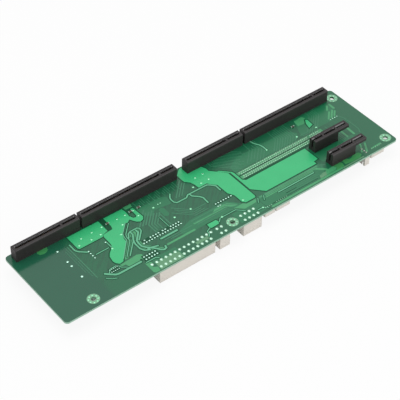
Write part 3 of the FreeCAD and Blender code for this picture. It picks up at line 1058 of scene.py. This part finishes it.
@dataclass
class CardSlot:
    """A card-edge slot: moulded housing with a comb of notches, bowed contacts 1 mm apart, solder tails."""

    board: Board
    name: str
    positions: int
    left: float
    row: float
    face: Face = Face.UPPER
    with_guide: bool = False
    tails_replace: tuple[str, ...] = ()
    end_margin: float = 3.0
    key_gap: float = 3.0
    after_key: int = 11
    half_width: float = 3.75
    height: float = 11.25
    foot: float = 2.0
    step: float = 0.2
    bevel: float = 0.5
    mouth: float = 0.875
    floor: float = 2.8
    end_wall: float = 1.65
    lead_in: float = 0.5
    key_width: float = 1.7
    notch: float = 0.8
    notch_width: float = 0.64
    end_round: float = 0.16
    sharp: float = 25.0
    arm_length: float = 11.1
    arm_height: float = 2.95
    contact_width: float = 0.5
    contact_thickness: float = 0.2
    contact_line: Path = ((1.42, 2.6), (1.42, 3.8), (1.10, 5.0), (0.66, 6.2),
                          (0.58, 6.7), (0.70, 7.3), (1.12, 8.3), (1.34, 8.8))
    tail_rows: Point2 = (3.25, 1.25)
    tail_radius: float = 0.26
    tail_shares: Path = ((1.3, 0.34), (1.0, 0.55), (1.0, 0.75), (0.5, 0.85))
    fillet_radius: float = 0.84
    fillet_shares: Path = ((1.0, -SUNK), (1.0, 0.05), (0.7, 0.16))
    tail_sides: int = 9

    @property
    def length(self) -> float:
        """Give the housing's length."""
        return 2 * self.end_margin + self.positions - 2 + self.key_gap

    @property
    def key(self) -> float:
        """Give the key's place along the housing."""
        return self.length - self.end_margin - (self.after_key - 1) - self.key_gap / 2

    def contacts_at(self) -> list[float]:
        """Give the contacts' places along the housing.

        Returns:
            Distances from its left end.
        """
        before = [self.end_margin + index for index in range(self.positions - self.after_key)]
        first = self.key + self.key_gap / 2
        return before + [first + index for index in range(self.after_key)]

    def build(self) -> None:
        """Build and dress the housing, the contacts and the tails."""
        seat(self.housing(), Slot.BLACK_PLASTIC, Finish.BLACK, f"{self.name}_housing")
        seat(self.contacts(), Slot.GILT_CONTACT, Finish.GILT, f"{self.name}_contacts")
        seat(self.tails(), Slot.TINNED_METAL, Finish.TAIL, *self.tails_replace)

    def profile(self, opening: float, mouth: float, floor: float, inset: float = 0.0) -> list[Point2]:
        """Give the housing's section.

        Args:
            opening: Half the width of the slot at its lip.
            mouth: Half the width of the slot below its lead-in.
            floor: Height of the slot's floor.
            inset: How far the outside is drawn in.

        Returns:
            Points across and up, round the section.
        """
        side = self.half_width - self.step - inset
        top = self.height - inset
        lip = min(top, max(floor, self.height - self.lead_in))
        right = [(self.half_width - inset, 0.0), (self.half_width - inset, self.foot), (side, self.foot),
                 (side, self.height - self.bevel), (side - self.bevel, top),
                 (opening, top), (mouth, lip), (mouth, min(floor, top))]
        return right + [(-across, up) for across, up in reversed(right)]

    def sections(self) -> Iterator[tuple[float, list[Point2]]]:
        """Give the housing's sections along its length.

        Yields:
            Distance from its left end, and the section.
        """
        lip = self.mouth + self.lead_in
        solid = self.profile(lip, self.mouth, self.height)
        slot = self.profile(lip, self.mouth, self.floor)
        comb = self.profile(self.mouth + self.notch, self.mouth + self.notch, self.floor)
        ends = self.profile(lip, self.mouth, self.height, self.end_round)
        stations = [(place, self.notch_width, comb) for place in self.contacts_at()]
        stations.insert(self.positions - self.after_key, (self.key, self.key_width, solid))
        if self.with_guide:
            yield 0.0, slot
        else:
            yield 0.0, ends
            yield self.end_round, solid
            yield self.end_wall, solid
            yield self.end_wall, slot
        for place, width, section in stations:
            for side, shape in ((-1, slot), (-1, section), (1, section), (1, slot)):
                yield place + side * width / 2, shape
        yield self.length - self.end_wall, slot
        yield self.length - self.end_wall, solid
        yield self.length - self.end_round, solid
        yield self.length, ends

    def housing(self) -> bpy.types.Object:
        """Build the housing.

        Returns:
            The piece.
        """
        draft = Draft(self.board, self.face)
        draft.loft([[(self.left + x, self.row + across, up) for across, up in section]
                    for x, section in self.sections()])
        if self.with_guide:
            self.add_arm(draft)
        return draft.piece(f"{self.name}_moulding", self.sharp)

    def add_arm(self, draft: Draft) -> None:
        """Add the guide arm: two rails joined by an end wall.

        Args:
            draft: The piece that gets it.
        """
        side = self.half_width - self.step
        low = self.height - self.arm_height
        start = self.left + self.length
        end = start + self.arm_length
        wall = end - self.end_wall
        outer = [(side, low), (side, self.height - self.bevel), (side - self.bevel, self.height)]
        rail = [(self.mouth, low), *outer, (self.mouth + self.lead_in, self.height),
                (self.mouth, self.height - self.lead_in)]
        for sign in (1, -1):
            draft.loft([[(x, self.row + sign * across, up) for across, up in rail] for x in (start, wall)])
        outer += [(-across, up) for across, up in reversed(outer)]
        narrowing = 1 - self.end_round / side
        drawn = [(across * narrowing, min(up, self.height - self.end_round)) for across, up in outer]
        draft.loft([[(x, self.row + across, up) for across, up in section]
                    for x, section in ((wall, outer), (end - self.end_round, outer), (end, drawn))])

    def contacts(self) -> bpy.types.Object:
        """Build the bowed spring contacts, rooted in the slot's floor.

        Returns:
            The piece.
        """
        strip = Trace(self.contact_thickness, self.contact_line)
        inner = strip.beside(self.contact_thickness / 2)
        outer = strip.beside(-self.contact_thickness / 2)
        half = self.contact_width / 2
        draft = Draft(self.board, self.face)
        for place in self.contacts_at():
            left, right = self.left + place - half, self.left + place + half
            for sign in (1, -1):
                rings = []
                for (near, low), (far, high) in zip(inner, outer):
                    near_y, far_y = self.row + sign * near, self.row + sign * far
                    rings.append(((left, near_y, low), (right, near_y, low),
                                  (right, far_y, high), (left, far_y, high)))
                draft.loft(rings)
        return draft.piece(f"{self.name}_springs")

    def tails(self) -> bpy.types.Object:
        """Build the solder tails and their fillets on the far face, in four staggered rows.

        Returns:
            The piece.
        """
        draft = Draft(self.board, Face.UNDER if self.face is Face.UPPER else Face.UPPER)
        profile = [(share * self.fillet_radius, up) for share, up in self.fillet_shares]
        profile += [(share * self.tail_radius, up) for share, up in self.tail_shares]
        for index, place in enumerate(self.contacts_at()):
            across = self.tail_rows[index % 2]
            for sign in (1, -1):
                draft.turned((self.left + place, self.row + sign * across), profile, self.tail_sides)
        return draft.piece(f"{self.name}_tails")


@dataclass
class Headers:
    """White headers below the front edge: rounded copies of the moulded housings and of the pins."""

    board: Board
    names: tuple[str, ...]
    rounding: Rounding = Rounding(0.12)
    trim: float = 0.25

    def build(self) -> None:
        """Build and dress the housings and the pins."""
        top = self.board.high.z + self.trim * MILLIMETRE
        for name in self.names:
            housing = self.rounding.copy(f"{name}_housing", f"{name}_moulding")
            seat(housing, Slot.WHITE_PLASTIC, Finish.WHITE, f"{name}_housing")
            pins = self.rounding.copy(f"{name}_pins", f"{name}_posts", top)
            seat(pins, Slot.TINNED_METAL, Finish.TIN, f"{name}_pins")


@dataclass
class ChipCapacitors:
    """Chip capacitors: rounded ceramic bodies between plated terminals."""

    rounding: Rounding = Rounding(0.10)

    def build(self) -> None:
        """Build and dress the bodies and the terminals."""
        bodies = self.rounding.copy("chip_capacitor_bodies", "chip_bodies")
        seat(bodies, Slot.CERAMIC, Finish.CERAMIC, "chip_capacitor_bodies")
        ends = self.rounding.copy("chip_capacitor_terminals", "chip_ends")
        seat(ends, Slot.TINNED_METAL, Finish.PAD_SOLDER, "chip_capacitor_terminals")


@dataclass
class Studio:
    """Plain pale floor, soft light and the camera at the photograph's angle."""

    camera_place: Point3 = (-0.46768, -0.56415, 0.69955)
    camera_turn: Point3 = (46.716, -0.678, -38.378)
    lens: float = 117.9
    sensor: float = 36.0
    floor_size: float = 6.0
    floor_drop: float = 0.0004
    floor_colour: Colour = (0.90, 0.90, 0.90)
    floor_glow: float = 0.9
    white: Colour = (1.0, 1.0, 1.0)
    shadow_left: Point2 = (7.0, 32.0)
    shadow_right: Point2 = (327.5, 332.0)
    shadow_front: Point2 = (11.0, 19.0)
    shadow_back: Point2 = (80.2, 90.2)
    sky: float = 0.56
    key_place: Point3 = (-0.15, 0.10, 1.15)
    key_size: float = 0.9
    key_power: float = 5.6
    fill_place: Point3 = (0.35, -1.1, 0.5)
    fill_size: float = 0.8
    fill_power: float = 3.8

    def build(self) -> None:
        """Build the stage."""
        scene = bpy.context.scene
        scene.view_settings.view_transform = "Standard"
        self.build_floor()
        self.build_sky()
        self.add_light("key", self.key_place, self.key_size, self.key_power)
        self.add_light("fill", self.fill_place, self.fill_size, self.fill_power)
        camera = bpy.data.objects.new("camera", bpy.data.cameras.new("camera"))
        camera.data.sensor_fit = "HORIZONTAL"
        camera.data.sensor_width = self.sensor
        camera.data.lens = self.lens
        camera.location = self.camera_place
        camera.rotation_euler = [math.radians(angle) for angle in self.camera_turn]
        scene.collection.objects.link(camera)
        scene.camera = camera

    def seen(self, bench: Bench) -> Signal:
        """Give 1 for rays that show the backdrop itself.

        Args:
            bench: The tree that asks.

        Returns:
            The signal.
        """
        camera = bench.node("ShaderNodeLightPath", output="Is Camera Ray")
        glossy = bench.node("ShaderNodeLightPath", output="Is Glossy Ray")
        return camera | glossy | bench.node("ShaderNodeLightPath", output="Is Transmission Ray")

    def build_floor(self) -> None:
        """Build the floor, which glows to the camera except in the part's shadow."""
        half = self.floor_size / 2
        mesh = bpy.data.meshes.new("floor")
        corners = [(-half, -half), (half, -half), (half, half), (-half, half)]
        mesh.from_pydata([(x, y, -self.floor_drop) for x, y in corners], [], [(0, 1, 2, 3)])
        floor = bpy.data.objects.new("floor", mesh)
        bpy.context.scene.collection.objects.link(floor)
        bench = Bench.for_material("studio_floor")
        paper = bench.node("ShaderNodeBsdfDiffuse", {}, {"Color": (*self.floor_colour, 1.0)})
        glow = bench.node("ShaderNodeEmission", {}, {"Color": (*self.white, 1.0)})
        glowing = self.floor_glow * self.seen(bench) * (1 - self.shadow(bench))
        surface = bench.node("ShaderNodeMixShader", {}, {0: glowing, 1: paper, 2: glow})
        bench.node("ShaderNodeOutputMaterial", {}, {"Surface": surface})
        mesh.materials.append(bench.material)

    def shadow(self, bench: Bench) -> Signal:
        """Give 1 on the floor under the part, where the paper shows its shadow, with a soft rim.

        Args:
            bench: The floor's bench.

        Returns:
            The signal.
        """
        inside = 1.0
        for axis, near, far in (("X", self.shadow_left, self.shadow_right),
                                ("Y", self.shadow_front, self.shadow_back)):
            place = bench.on_board(axis)
            inside = inside * bench.step(place, *near) * (1 - bench.step(place, *far))
        return inside

    def build_sky(self) -> None:
        """Light the part evenly from a white surround."""
        world = bpy.data.worlds.new("studio")
        world.use_nodes = True
        bpy.context.scene.world = world
        bench = Bench(world.node_tree)
        strength = self.sky + (1.0 - self.sky) * self.seen(bench)
        back = bench.node("ShaderNodeBackground", {}, {"Color": (*self.white, 1.0), "Strength": strength})
        bench.node("ShaderNodeOutputWorld", {}, {"Surface": back})

    def add_light(self, name: str, place: Point3, size: float, power: float) -> None:
        """Add a soft light that points at the part.

        Args:
            name: The light's name.
            place: Where it hangs.
            size: Its side.
            power: Its power in watts.
        """
        lamp = bpy.data.lights.new(name, "AREA")
        lamp.size = size
        lamp.energy = power
        light = bpy.data.objects.new(name, lamp)
        light.location = place
        light.rotation_euler = (-Vector(place)).to_track_quat("-Z", "Y").to_euler()
        bpy.context.scene.collection.objects.link(light)


# The first two pours stop at y 69.7, short of the host slots' feet at y 70.55, so that the dark gap round
# them lies along the feet as painted shade.
UPPER_POURS: tuple[Path, ...] = (
    ((47.6, 55.4), (48.6, 54.1), (69.4, 54.1), (70.4, 55.8), (75.6, 57.0), (75.9, 69.7), (47.6, 69.7)),
    ((80.6, 69.7), (97.5, 69.7), (98.2, 65.4), (97.6, 59.9), (95.6, 57.0), (92.6, 55.0), (90.6, 55.6),
     (84.6, 49.6), (81.6, 46.0), (80.4, 43.0), (80.0, 40.0), (66.4, 24.4), (63.0, 23.9), (60.9, 26.6),
     (60.4, 29.0), (61.4, 34.2), (63.4, 37.0), (67.4, 40.4), (69.2, 43.0), (69.6, 45.9), (69.7, 53.4),
     (70.6, 55.6), (79.6, 56.4), (80.6, 59.4)),
    ((95.5, 57.2), (97.2, 54.0), (98.8, 51.6), (101.0, 50.2), (104.0, 51.0), (105.8, 53.6), (105.4, 57.9),
     (105.0, 65.4), (102.6, 65.8), (102.4, 57.4), (101.0, 56.0), (99.0, 56.6), (98.2, 58.9), (97.4, 59.8)),
    ((153.8, 74.0), (159.8, 79.2), (162.6, 79.2), (161.5, 76.5), (161.5, 73.0), (163.0, 71.0),
     (175.0, 70.5), (176.8, 66.4), (176.5, 63.4), (180.0, 59.8), (183.2, 56.6), (187.2, 51.8),
     (187.2, 19.4), (186.2, 17.9), (177.0, 17.9), (175.0, 20.4), (175.0, 29.4), (172.2, 34.4),
     (172.0, 46.4), (167.6, 50.9), (166.6, 52.8), (158.7, 52.8), (158.3, 57.4), (157.0, 61.4),
     (153.8, 64.9), (153.5, 70.0)),
    ((188.8, 27.4), (197.6, 18.1), (249.3, 18.1), (249.5, 21.2), (254.0, 21.7), (254.0, 37.2),
     (193.2, 37.2), (191.0, 39.4), (191.0, 48.6), (190.4, 51.0), (183.2, 58.4), (181.4, 58.8),
     (188.8, 50.8)),
    ((138.3, 17.0), (146.5, 17.0), (147.3, 14.9), (146.2, 12.4), (139.0, 12.2), (138.0, 13.4)),
    ((274.0, 54.0), (279.0, 55.6), (279.6, 62.6), (278.0, 63.6), (275.4, 59.6)),
)

UPPER_PLANES: tuple[Path, ...] = (
    ((192.0, 49.0), (256.0, 49.0), (262.0, 55.0), (256.0, 62.4), (204.0, 62.4), (192.0, 56.0)),
    ((186.5, 17.0), (249.0, 17.0), (251.0, 12.0), (246.0, 4.0), (190.0, 3.6), (186.5, 6.0)),
    ((118.0, 24.5), (131.0, 28.6), (165.0, 28.6), (173.0, 20.0), (173.0, 17.5), (150.0, 17.6),
     (118.0, 18.0)),
    ((255.0, 27.6), (283.0, 27.6), (296.0, 27.0), (296.0, 16.4), (255.0, 16.4)),
    ((262.0, 50.0), (300.0, 50.0), (306.0, 58.0), (306.0, 69.0), (270.0, 69.0)),
    ((160.0, 2.4), (186.0, 2.4), (186.0, 14.0), (160.0, 14.4)),
    ((83.0, 0.8), (106.0, 0.8), (105.0, 13.0), (83.0, 13.6)),
    ((118.8, 44.0), (121.0, 42.4), (123.4, 44.0), (123.8, 51.0), (121.6, 53.0), (119.0, 51.6)),
    # This plane lightens the mask in front of host slot c, painted light that stands in for the slot's
    # reflection in the board fading out sooner.
    ((104.6, 55.0), (112.0, 49.6), (117.0, 53.8), (131.6, 51.6), (132.6, 60.0), (128.0, 62.6),
     (106.6, 62.4)),
)

UPPER_DIM_POURS: tuple[Path, ...] = (
    ((247.0, 3.4), (249.4, 7.4), (257.6, 8.0), (259.0, 5.0), (256.4, 3.4)),
    ((268.2, 61.4), (269.2, 67.6), (277.6, 68.6), (279.4, 65.6), (274.2, 60.4)),
    ((102.0, 17.6), (128.0, 17.6), (128.6, 18.4), (128.0, 19.4), (102.0, 19.4)),
    ((131.0, 24.6), (150.0, 24.6), (153.0, 26.6), (164.4, 26.6), (170.6, 20.4), (168.6, 19.6),
     (161.0, 23.0), (131.0, 23.0)),
    ((77.6, 13.4), (77.4, 2.4), (78.6, 0.8), (82.6, 0.8), (83.2, 4.8), (80.2, 6.8), (82.4, 11.0),
     (80.4, 13.4)),
    ((61.6, 20.9), (66.0, 20.7), (66.8, 17.3), (79.4, 17.1), (81.6, 19.8), (81.2, 22.4), (78.0, 24.0),
     (70.0, 23.4), (62.0, 23.0)),
    ((67.0, 25.0), (80.4, 40.4), (82.2, 43.6), (84.6, 38.0), (74.0, 26.2), (71.0, 25.0)),
    ((84.2, 45.4), (87.0, 46.4), (95.0, 46.4), (96.4, 44.0), (95.4, 41.4), (88.4, 33.8), (88.2, 29.0),
     (93.6, 22.6), (98.6, 17.4), (97.6, 15.4), (95.0, 16.4), (89.0, 21.2), (84.0, 24.2), (82.8, 27.4),
     (82.8, 33.6), (85.6, 40.0)),
    ((165.4, 18.4), (174.2, 18.6), (176.4, 16.6), (185.6, 16.4), (183.4, 13.4), (172.0, 13.0)),
    ((98.9, 70.4), (99.6, 67.2), (105.4, 67.0), (106.2, 70.4)),
    ((191.6, 39.9), (280.4, 39.9), (280.4, 43.1), (191.6, 43.1)),
    ((191.6, 44.6), (280.4, 44.6), (280.4, 47.8), (191.6, 47.8)),
)

UPPER_LEAF_POURS: tuple[Path, ...] = (
    ((256.6, 2.6), (259.2, 5.0), (257.8, 8.2), (265.0, 8.2), (266.2, 6.0), (265.0, 2.6)),
    ((267.0, 3.6), (267.6, 8.2), (271.8, 8.2), (273.4, 6.4), (276.2, 6.4), (279.6, 8.2), (284.6, 7.8),
     (285.6, 4.6), (282.4, 2.5), (274.0, 2.6)),
    ((21.2, 69.0), (22.2, 66.8), (25.2, 65.8), (27.4, 66.2), (29.6, 67.6), (30.6, 71.0), (22.0, 71.0)),
)

UPPER_PALE_POURS: tuple[Path, ...] = (
    ((83.6, 0.9), (104.6, 0.9), (104.6, 7.6), (101.0, 8.8), (84.0, 8.6)),
    ((119.6, 4.9), (131.4, 4.9), (132.6, 6.2), (131.4, 7.7), (119.6, 7.7)),
    ((240.6, 3.2), (242.0, 6.0), (246.0, 7.0), (249.0, 6.8), (247.0, 3.2)),
    ((263.0, 0.9), (285.0, 0.9), (285.0, 2.1), (263.0, 2.1)),
)

UPPER_TRACES: tuple[Trace, ...] = (
    Trace(1.2, ((44.8, 61.9), (44.8, 54.9), (46.2, 52.4), (51.4, 47.8))),
    Trace(1.7, ((48.6, 22.4), (50.6, 20.4), (54.4, 17.0), (57.0, 16.3), (76.4, 16.2))),
    Trace(0.7, ((46.8, 18.2), (50.0, 15.2), (53.2, 13.6))),
    Trace(0.7, ((51.6, 21.0), (54.2, 23.8), (59.6, 24.2))),
    Trace(0.7, ((61.0, 22.8), (62.0, 20.4), (65.6, 17.8))),
    Trace(0.7, ((90.8, 55.8), (82.6, 47.6), (81.4, 43.8), (81.2, 40.8), (68.4, 26.8))),
    Trace(0.7, ((92.6, 54.0), (84.4, 46.0), (83.0, 43.4), (82.8, 38.8), (71.2, 26.4))),
    Trace(0.9, ((83.8, 36.2), (73.8, 26.0))),
    Trace(1.1, ((83.4, 41.0), (86.0, 45.0), (88.4, 46.2), (94.6, 46.2), (96.0, 44.8), (95.4, 41.8),
                (88.6, 35.0))),
    Trace(1.3, ((88.2, 45.2), (88.2, 42.6), (84.8, 37.0), (83.8, 33.4), (83.8, 27.4), (85.4, 24.0),
                (89.0, 22.0))),
    Trace(1.5, ((92.6, 44.8), (92.8, 42.0), (86.8, 35.6), (86.2, 32.4), (86.2, 28.8), (88.2, 25.8),
                (93.6, 20.0), (95.4, 17.2), (97.4, 15.8), (99.6, 16.4), (100.2, 18.4))),
    Trace(1.4, ((88.4, 23.6), (91.0, 23.4), (96.0, 21.8))),
    Trace(1.2, ((136.6, 60.6), (134.4, 57.8), (133.5, 55.4), (133.6, 51.8), (135.2, 49.7), (144.2, 49.6),
                (147.0, 51.6), (165.4, 51.4), (167.0, 50.2), (170.4, 46.4), (170.2, 40.6))),
    Trace(1.3, ((148.4, 51.0), (148.8, 48.6), (153.0, 44.4), (154.4, 41.8), (154.0, 35.6))),
    Trace(1.4, ((225.0, 70.5), (225.8, 66.8), (228.2, 62.6), (229.0, 59.4), (229.0, 54.6))),
    Trace(0.8, ((147.6, 13.8), (150.4, 16.4), (165.4, 16.4), (168.4, 13.4), (170.6, 11.0))),
    Trace(0.8, ((178.6, 5.8), (184.0, 5.7), (187.4, 3.0))),
    Trace(0.7, ((184.4, 12.0), (187.2, 16.0))),
    Trace(0.7, ((189.8, 11.4), (192.8, 15.8))),
    Trace(1.1, ((204.0, 11.5), (240.4, 11.5))),
    Trace(1.7, ((102.2, 26.2), (117.0, 26.2))),
    Trace(0.8, ((131.6, 6.2), (133.6, 8.2), (134.0, 11.4), (137.8, 13.0))),
    Trace(0.9, ((79.0, 13.2), (87.4, 13.2), (89.4, 11.6))),
    Trace(0.6, ((114.8, 44.8), (114.8, 33.3))),
    Trace(0.8, ((55.0, 42.2), (66.0, 42.2))),
    Trace(0.8, ((68.0, 47.9), (68.0, 41.6))),
)

UPPER_STRIPES: tuple[Trace, ...] = (
    Trace(1.5, ((294.2, 52.8), (300.6, 59.2))),
    Trace(1.5, ((297.2, 52.6), (304.0, 59.4))),
    Trace(1.3, ((300.6, 52.8), (305.4, 57.6))),
    Trace(1.6, ((300.8, 62.0), (304.2, 66.0))),
    Trace(2.0, ((307.0, 60.8), (307.2, 66.2))),
    Trace(1.4, ((287.4, 6.4), (291.6, 11.8), (293.0, 14.6))),
    Trace(1.6, ((291.4, 4.6), (296.6, 12.6))),
    Trace(1.2, ((296.4, 4.9), (306.6, 5.3))),
    Trace(2.1, ((243.4, 15.2), (251.2, 8.2))),
    Trace(0.9, ((192.6, 13.0), (241.0, 13.0))),
    Trace(0.9, ((194.0, 14.4), (246.0, 14.4))),
    Trace(0.9, ((189.0, 15.8), (247.6, 15.8))),
    Trace(2.0, ((190.4, 2.0), (262.0, 2.0))),
    Trace(2.2, ((291.2, 27.6), (291.4, 35.6))),
    Trace(2.0, ((298.0, 26.8), (298.4, 35.4))),
)

UPPER_BUNDLES: tuple[Bundle, ...] = (
    Bundle(1, 1.0, Trace(0.8, ((42.3, 23.0), (42.3, 61.0)))),
    Bundle(2, 1.8, Trace(0.4, ((40.4, 61.0), (40.4, 26.0))), 6.0),
    Bundle(3, 2.1, Trace(1.0, ((97.0, 45.7), (110.0, 58.7))), 3.0),
    Bundle(4, 2.1, Trace(1.0, ((103.6, 33.5), (103.6, 43.4), (114.6, 54.4))), 3.0),
    Bundle(1, 1.0, Trace(0.9, ((117.4, 33.5), (117.4, 49.0)))),
    Bundle(22, 1.9, Trace(0.6, ((108.0, 60.6), (108.0, 70.6))), 5.0),
    Bundle(3, 2.0, Trace(0.8, ((138.0, 54.4), (152.0, 68.4))), 3.0),
    Bundle(12, 1.8, Trace(0.7, ((199.0, 48.8), (181.6, 66.2), (181.6, 70.6))), 6.0),
    Bundle(6, 2.4, Trace(0.6, ((206.0, 51.0), (218.0, 63.0), (218.0, 70.6))), 7.0),
    Bundle(9, 2.0, Trace(0.6, ((231.0, 48.2), (243.0, 60.2), (243.0, 70.6))), 4.0),
    Bundle(2, 1.6, Trace(0.8, ((184.0, 16.6), (250.0, 16.6), (254.0, 12.6))), 2.0),
    Bundle(4, 1.8, Trace(0.6, ((207.0, 9.4), (240.0, 9.4), (244.0, 5.4))), 5.0),
    Bundle(4, 1.8, Trace(0.8, ((285.0, 18.0), (285.0, 47.0))), 8.0),
    Bundle(4, 1.8, Trace(0.6, ((128.0, 47.8), (140.0, 35.8), (152.0, 35.8))), 6.0),
    Bundle(3, 2.7, Trace(0.8, ((131.0, 27.0), (162.4, 27.0), (170.0, 19.4))), 2.0),
    Bundle(2, 1.8, Trace(0.7, ((104.0, 23.4), (129.0, 23.4))), 8.0),
    Bundle(5, 1.9, Trace(0.7, ((262.0, 51.4), (270.0, 51.4), (284.0, 65.4), (284.0, 70.5))), 3.0),
    Bundle(1, 1.0, Trace(0.6, ((303.0, 50.6), (304.8, 46.0), (305.2, 40.0), (305.2, 29.0), (303.0, 25.0)))),
)

UPPER_CLEARINGS: tuple[Path, ...] = (
    ((191.0, 37.4), (281.0, 37.4), (281.0, 39.3), (191.0, 39.3)),
    ((191.0, 43.2), (281.0, 43.2), (281.0, 44.3), (191.0, 44.3)),
    ((89.0, 29.0), (124.4, 29.0), (124.4, 33.4), (89.0, 33.4)),
    ((79.2, 14.4), (92.8, 14.4), (92.8, 20.4), (79.2, 20.4)),
    ((156.2, 29.2), (174.2, 29.2), (174.2, 31.8), (156.2, 31.8)),
    ((52.4, 19.2), (60.6, 19.2), (60.6, 24.4), (52.4, 24.4)),
    ((76.2, 57.2), (80.2, 57.2), (80.2, 70.8), (76.2, 70.8)),
    ((192.0, 4.2), (239.0, 4.2), (238.4, 4.8), (192.6, 4.8)),
    ((208.0, 6.8), (219.0, 6.8), (218.4, 7.4), (208.6, 7.4)),
    ((76.9, 17.2), (77.4, 16.7), (78.2, 16.7), (78.7, 17.2), (78.7, 18.1), (78.2, 18.6), (77.4, 18.6),
     (76.9, 18.1)),
)

UNDER_POURS: tuple[Path, ...] = (
    ((84.0, 14.0), (132.0, 14.0), (138.0, 20.0), (138.0, 34.0), (128.0, 44.0), (96.0, 44.0), (84.0, 32.0)),
    ((162.0, 14.0), (180.0, 14.0), (186.0, 20.0), (186.0, 38.0), (174.0, 50.0), (162.0, 50.0)),
    ((200.0, 20.0), (252.0, 20.0), (252.0, 34.0), (206.0, 34.0), (200.0, 28.0)),
    ((18.0, 50.0), (52.0, 50.0), (58.0, 56.0), (58.0, 66.0), (18.0, 66.0)),
)

UNDER_BUNDLES: tuple[Bundle, ...] = (
    Bundle(16, 1.2, Trace(0.5, ((196.0, 49.5), (188.0, 57.5), (188.0, 69.0)))),
    Bundle(14, 1.3, Trace(0.5, ((262.0, 49.5), (250.0, 61.5), (250.0, 69.0)))),
    Bundle(10, 1.2, Trace(0.5, ((60.0, 69.0), (60.0, 60.0), (80.0, 40.0), (80.0, 22.0)))),
    Bundle(8, 1.2, Trace(0.5, ((128.0, 69.0), (128.0, 56.0), (146.0, 38.0), (146.0, 22.0)))),
    Bundle(6, 1.2, Trace(0.5, ((190.0, 16.0), (262.0, 16.0), (270.0, 24.0), (270.0, 40.0)))),
)

VIAS: Path = (
    (65.2, 62.9), (74.5, 63.2), (50.3, 57.2), (69.5, 57.2), (61.0, 56.9), (55.5, 62.4), (88.5, 63.1),
    (95.8, 62.9), (103.6, 63.2), (88.4, 55.7), (103.6, 56.4), (81.5, 47.9), (67.8, 40.0), (163.5, 63.4),
    (171.0, 63.4), (163.5, 55.9), (171.0, 55.9), (155.6, 55.9), (177.0, 21.4), (183.8, 5.7), (229.0, 54.6),
    (139.2, 38.0), (124.0, 38.2), (258.8, 52.0), (279.0, 51.2), (152.6, 16.8), (117.6, 56.4),
)

VIA_RADIUS = 0.90

PAD_ROWS: dict[Plating, tuple[PadRow, ...]] = {
    Plating.BRIGHT: (
        *(PadRow(0.98, (34.2, y)) for y in (61.9, 48.8, 43.5, 30.4)),
        PadRow(0.62, (52.3, 40.0), (0.0, 2.7), 4),
        PadRow(0.62, (67.6, 48.3)),
    ),
    Plating.MINT: (
        PadRow(0.62, (122.6, 57.4), (2.3, 0.0), 2),
        *(PadRow(VIA_RADIUS, place) for place in VIAS),
    ),
    Plating.PALE: (
        PadRow(0.74, (89.3, 29.9), (2.46, 0.0), 15),
        PadRow(0.74, (91.5, 32.4)),
        PadRow(0.74, (97.0, 32.4), (2.46, 0.0), 4),
        PadRow(0.74, (108.3, 32.4), (2.46, 0.0), 2),
        PadRow(0.74, (115.8, 32.4), (2.46, 0.0), 4),
        PadRow(0.76, (81.0, 15.9), (2.5, 0.0), 5),
        PadRow(0.76, (81.0, 18.8), (2.5, 0.0), 5),
        PadRow(0.74, (157.6, 30.6), (2.5, 0.0), 7),
        PadRow(0.58, (157.6, 27.6), (2.0, 0.0), 2),
        PadRow(0.46, (53.6, 23.2), (1.6, 0.0), 5),
        PadRow(0.46, (53.6, 20.6), (1.6, 0.0), 5),
        PadRow(0.50, (294.9, 51.4), (2.4, 0.0), 4),
    ),
}

FIXING_HOLES: Path = ((28.2, 7.6), (155.2, 7.6), (314.5, 7.6), (314.5, 71.1))

PEGS: Path = ((81.05, 9.15), (135.65, 9.15))

# Radius, height and finish of the solder joints of the headers and of the main header's pegs.
POWER_JOINT = (1.28, 0.7, Finish.JOINT)
FAN_JOINT = (0.9, 0.6, Finish.DULL_SOLDER)
SIGNAL_JOINT = (0.45, 0.3, Finish.TAIL)
PEG_JOINT = (1.25, 0.45, Finish.JOINT)

POWER_HEADERS = ("main_power", "four_way_power", "eight_way_power")
SIGNAL_HEADERS = ("left_signal_header", "middle_signal_header", "right_signal_header")
FAN_HEADERS = ("fan_header",)

# Contact positions of the long, medium and short card slots.
LONG = 82
MEDIUM = 49
SHORT = 18


def main() -> None:
    """Build the part's looks and the stage."""
    logging.basicConfig(level=logging.INFO, format="%(name)s: %(message)s")
    Studio().build()
    board = Board.from_frame()
    dress(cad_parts["circuit_board"], Finish.MASK)
    stripes = tuple(tuple(stripe.outline()) for stripe in UPPER_STRIPES)
    PrintedCopper(board, Face.UPPER, "upper", UPPER_POURS, UPPER_PLANES, UPPER_DIM_POURS + stripes,
                  UPPER_LEAF_POURS, UPPER_PALE_POURS, UPPER_TRACES, UPPER_BUNDLES, UPPER_CLEARINGS).build()
    PrintedCopper(board, Face.UNDER, "under", UNDER_POURS, bundles=UNDER_BUNDLES).build()
    PlatedPads(board, FIXING_HOLES, PAD_ROWS).build()
    for names, joint in ((POWER_HEADERS, POWER_JOINT), (FAN_HEADERS, FAN_JOINT),
                         (SIGNAL_HEADERS, SIGNAL_JOINT)):
        for name in names:
            PinJoints(board, name, *joint).build()
    PinJoints(board, "main_power_peg", *PEG_JOINT, PEGS).build()
    for slot in (
        CardSlot(board, "host_slot_d", MEDIUM, 4.7, HOST_ROW),
        CardSlot(board, "host_slot_c", LONG, 62.5, HOST_ROW),
        CardSlot(board, "host_slot_b", MEDIUM, 161.5, HOST_ROW),
        CardSlot(board, "host_slot_a", LONG, 219.6, HOST_ROW),
        CardSlot(board, "rear_card_slot", SHORT, 256.9, REAR_CARD_ROW, with_guide=True),
        CardSlot(board, "front_card_slot", SHORT, 256.9, FRONT_CARD_ROW, with_guide=True),
        CardSlot(board, "underside_slot", LONG, 191.5, UNDERSIDE_ROW, Face.UNDER,
                 tails_replace=("underside_slot_solder_tails",)),
    ):
        slot.build()
    Headers(board, POWER_HEADERS + SIGNAL_HEADERS + FAN_HEADERS).build()
    ChipCapacitors().build()


if __name__ == "__main__":
    main()
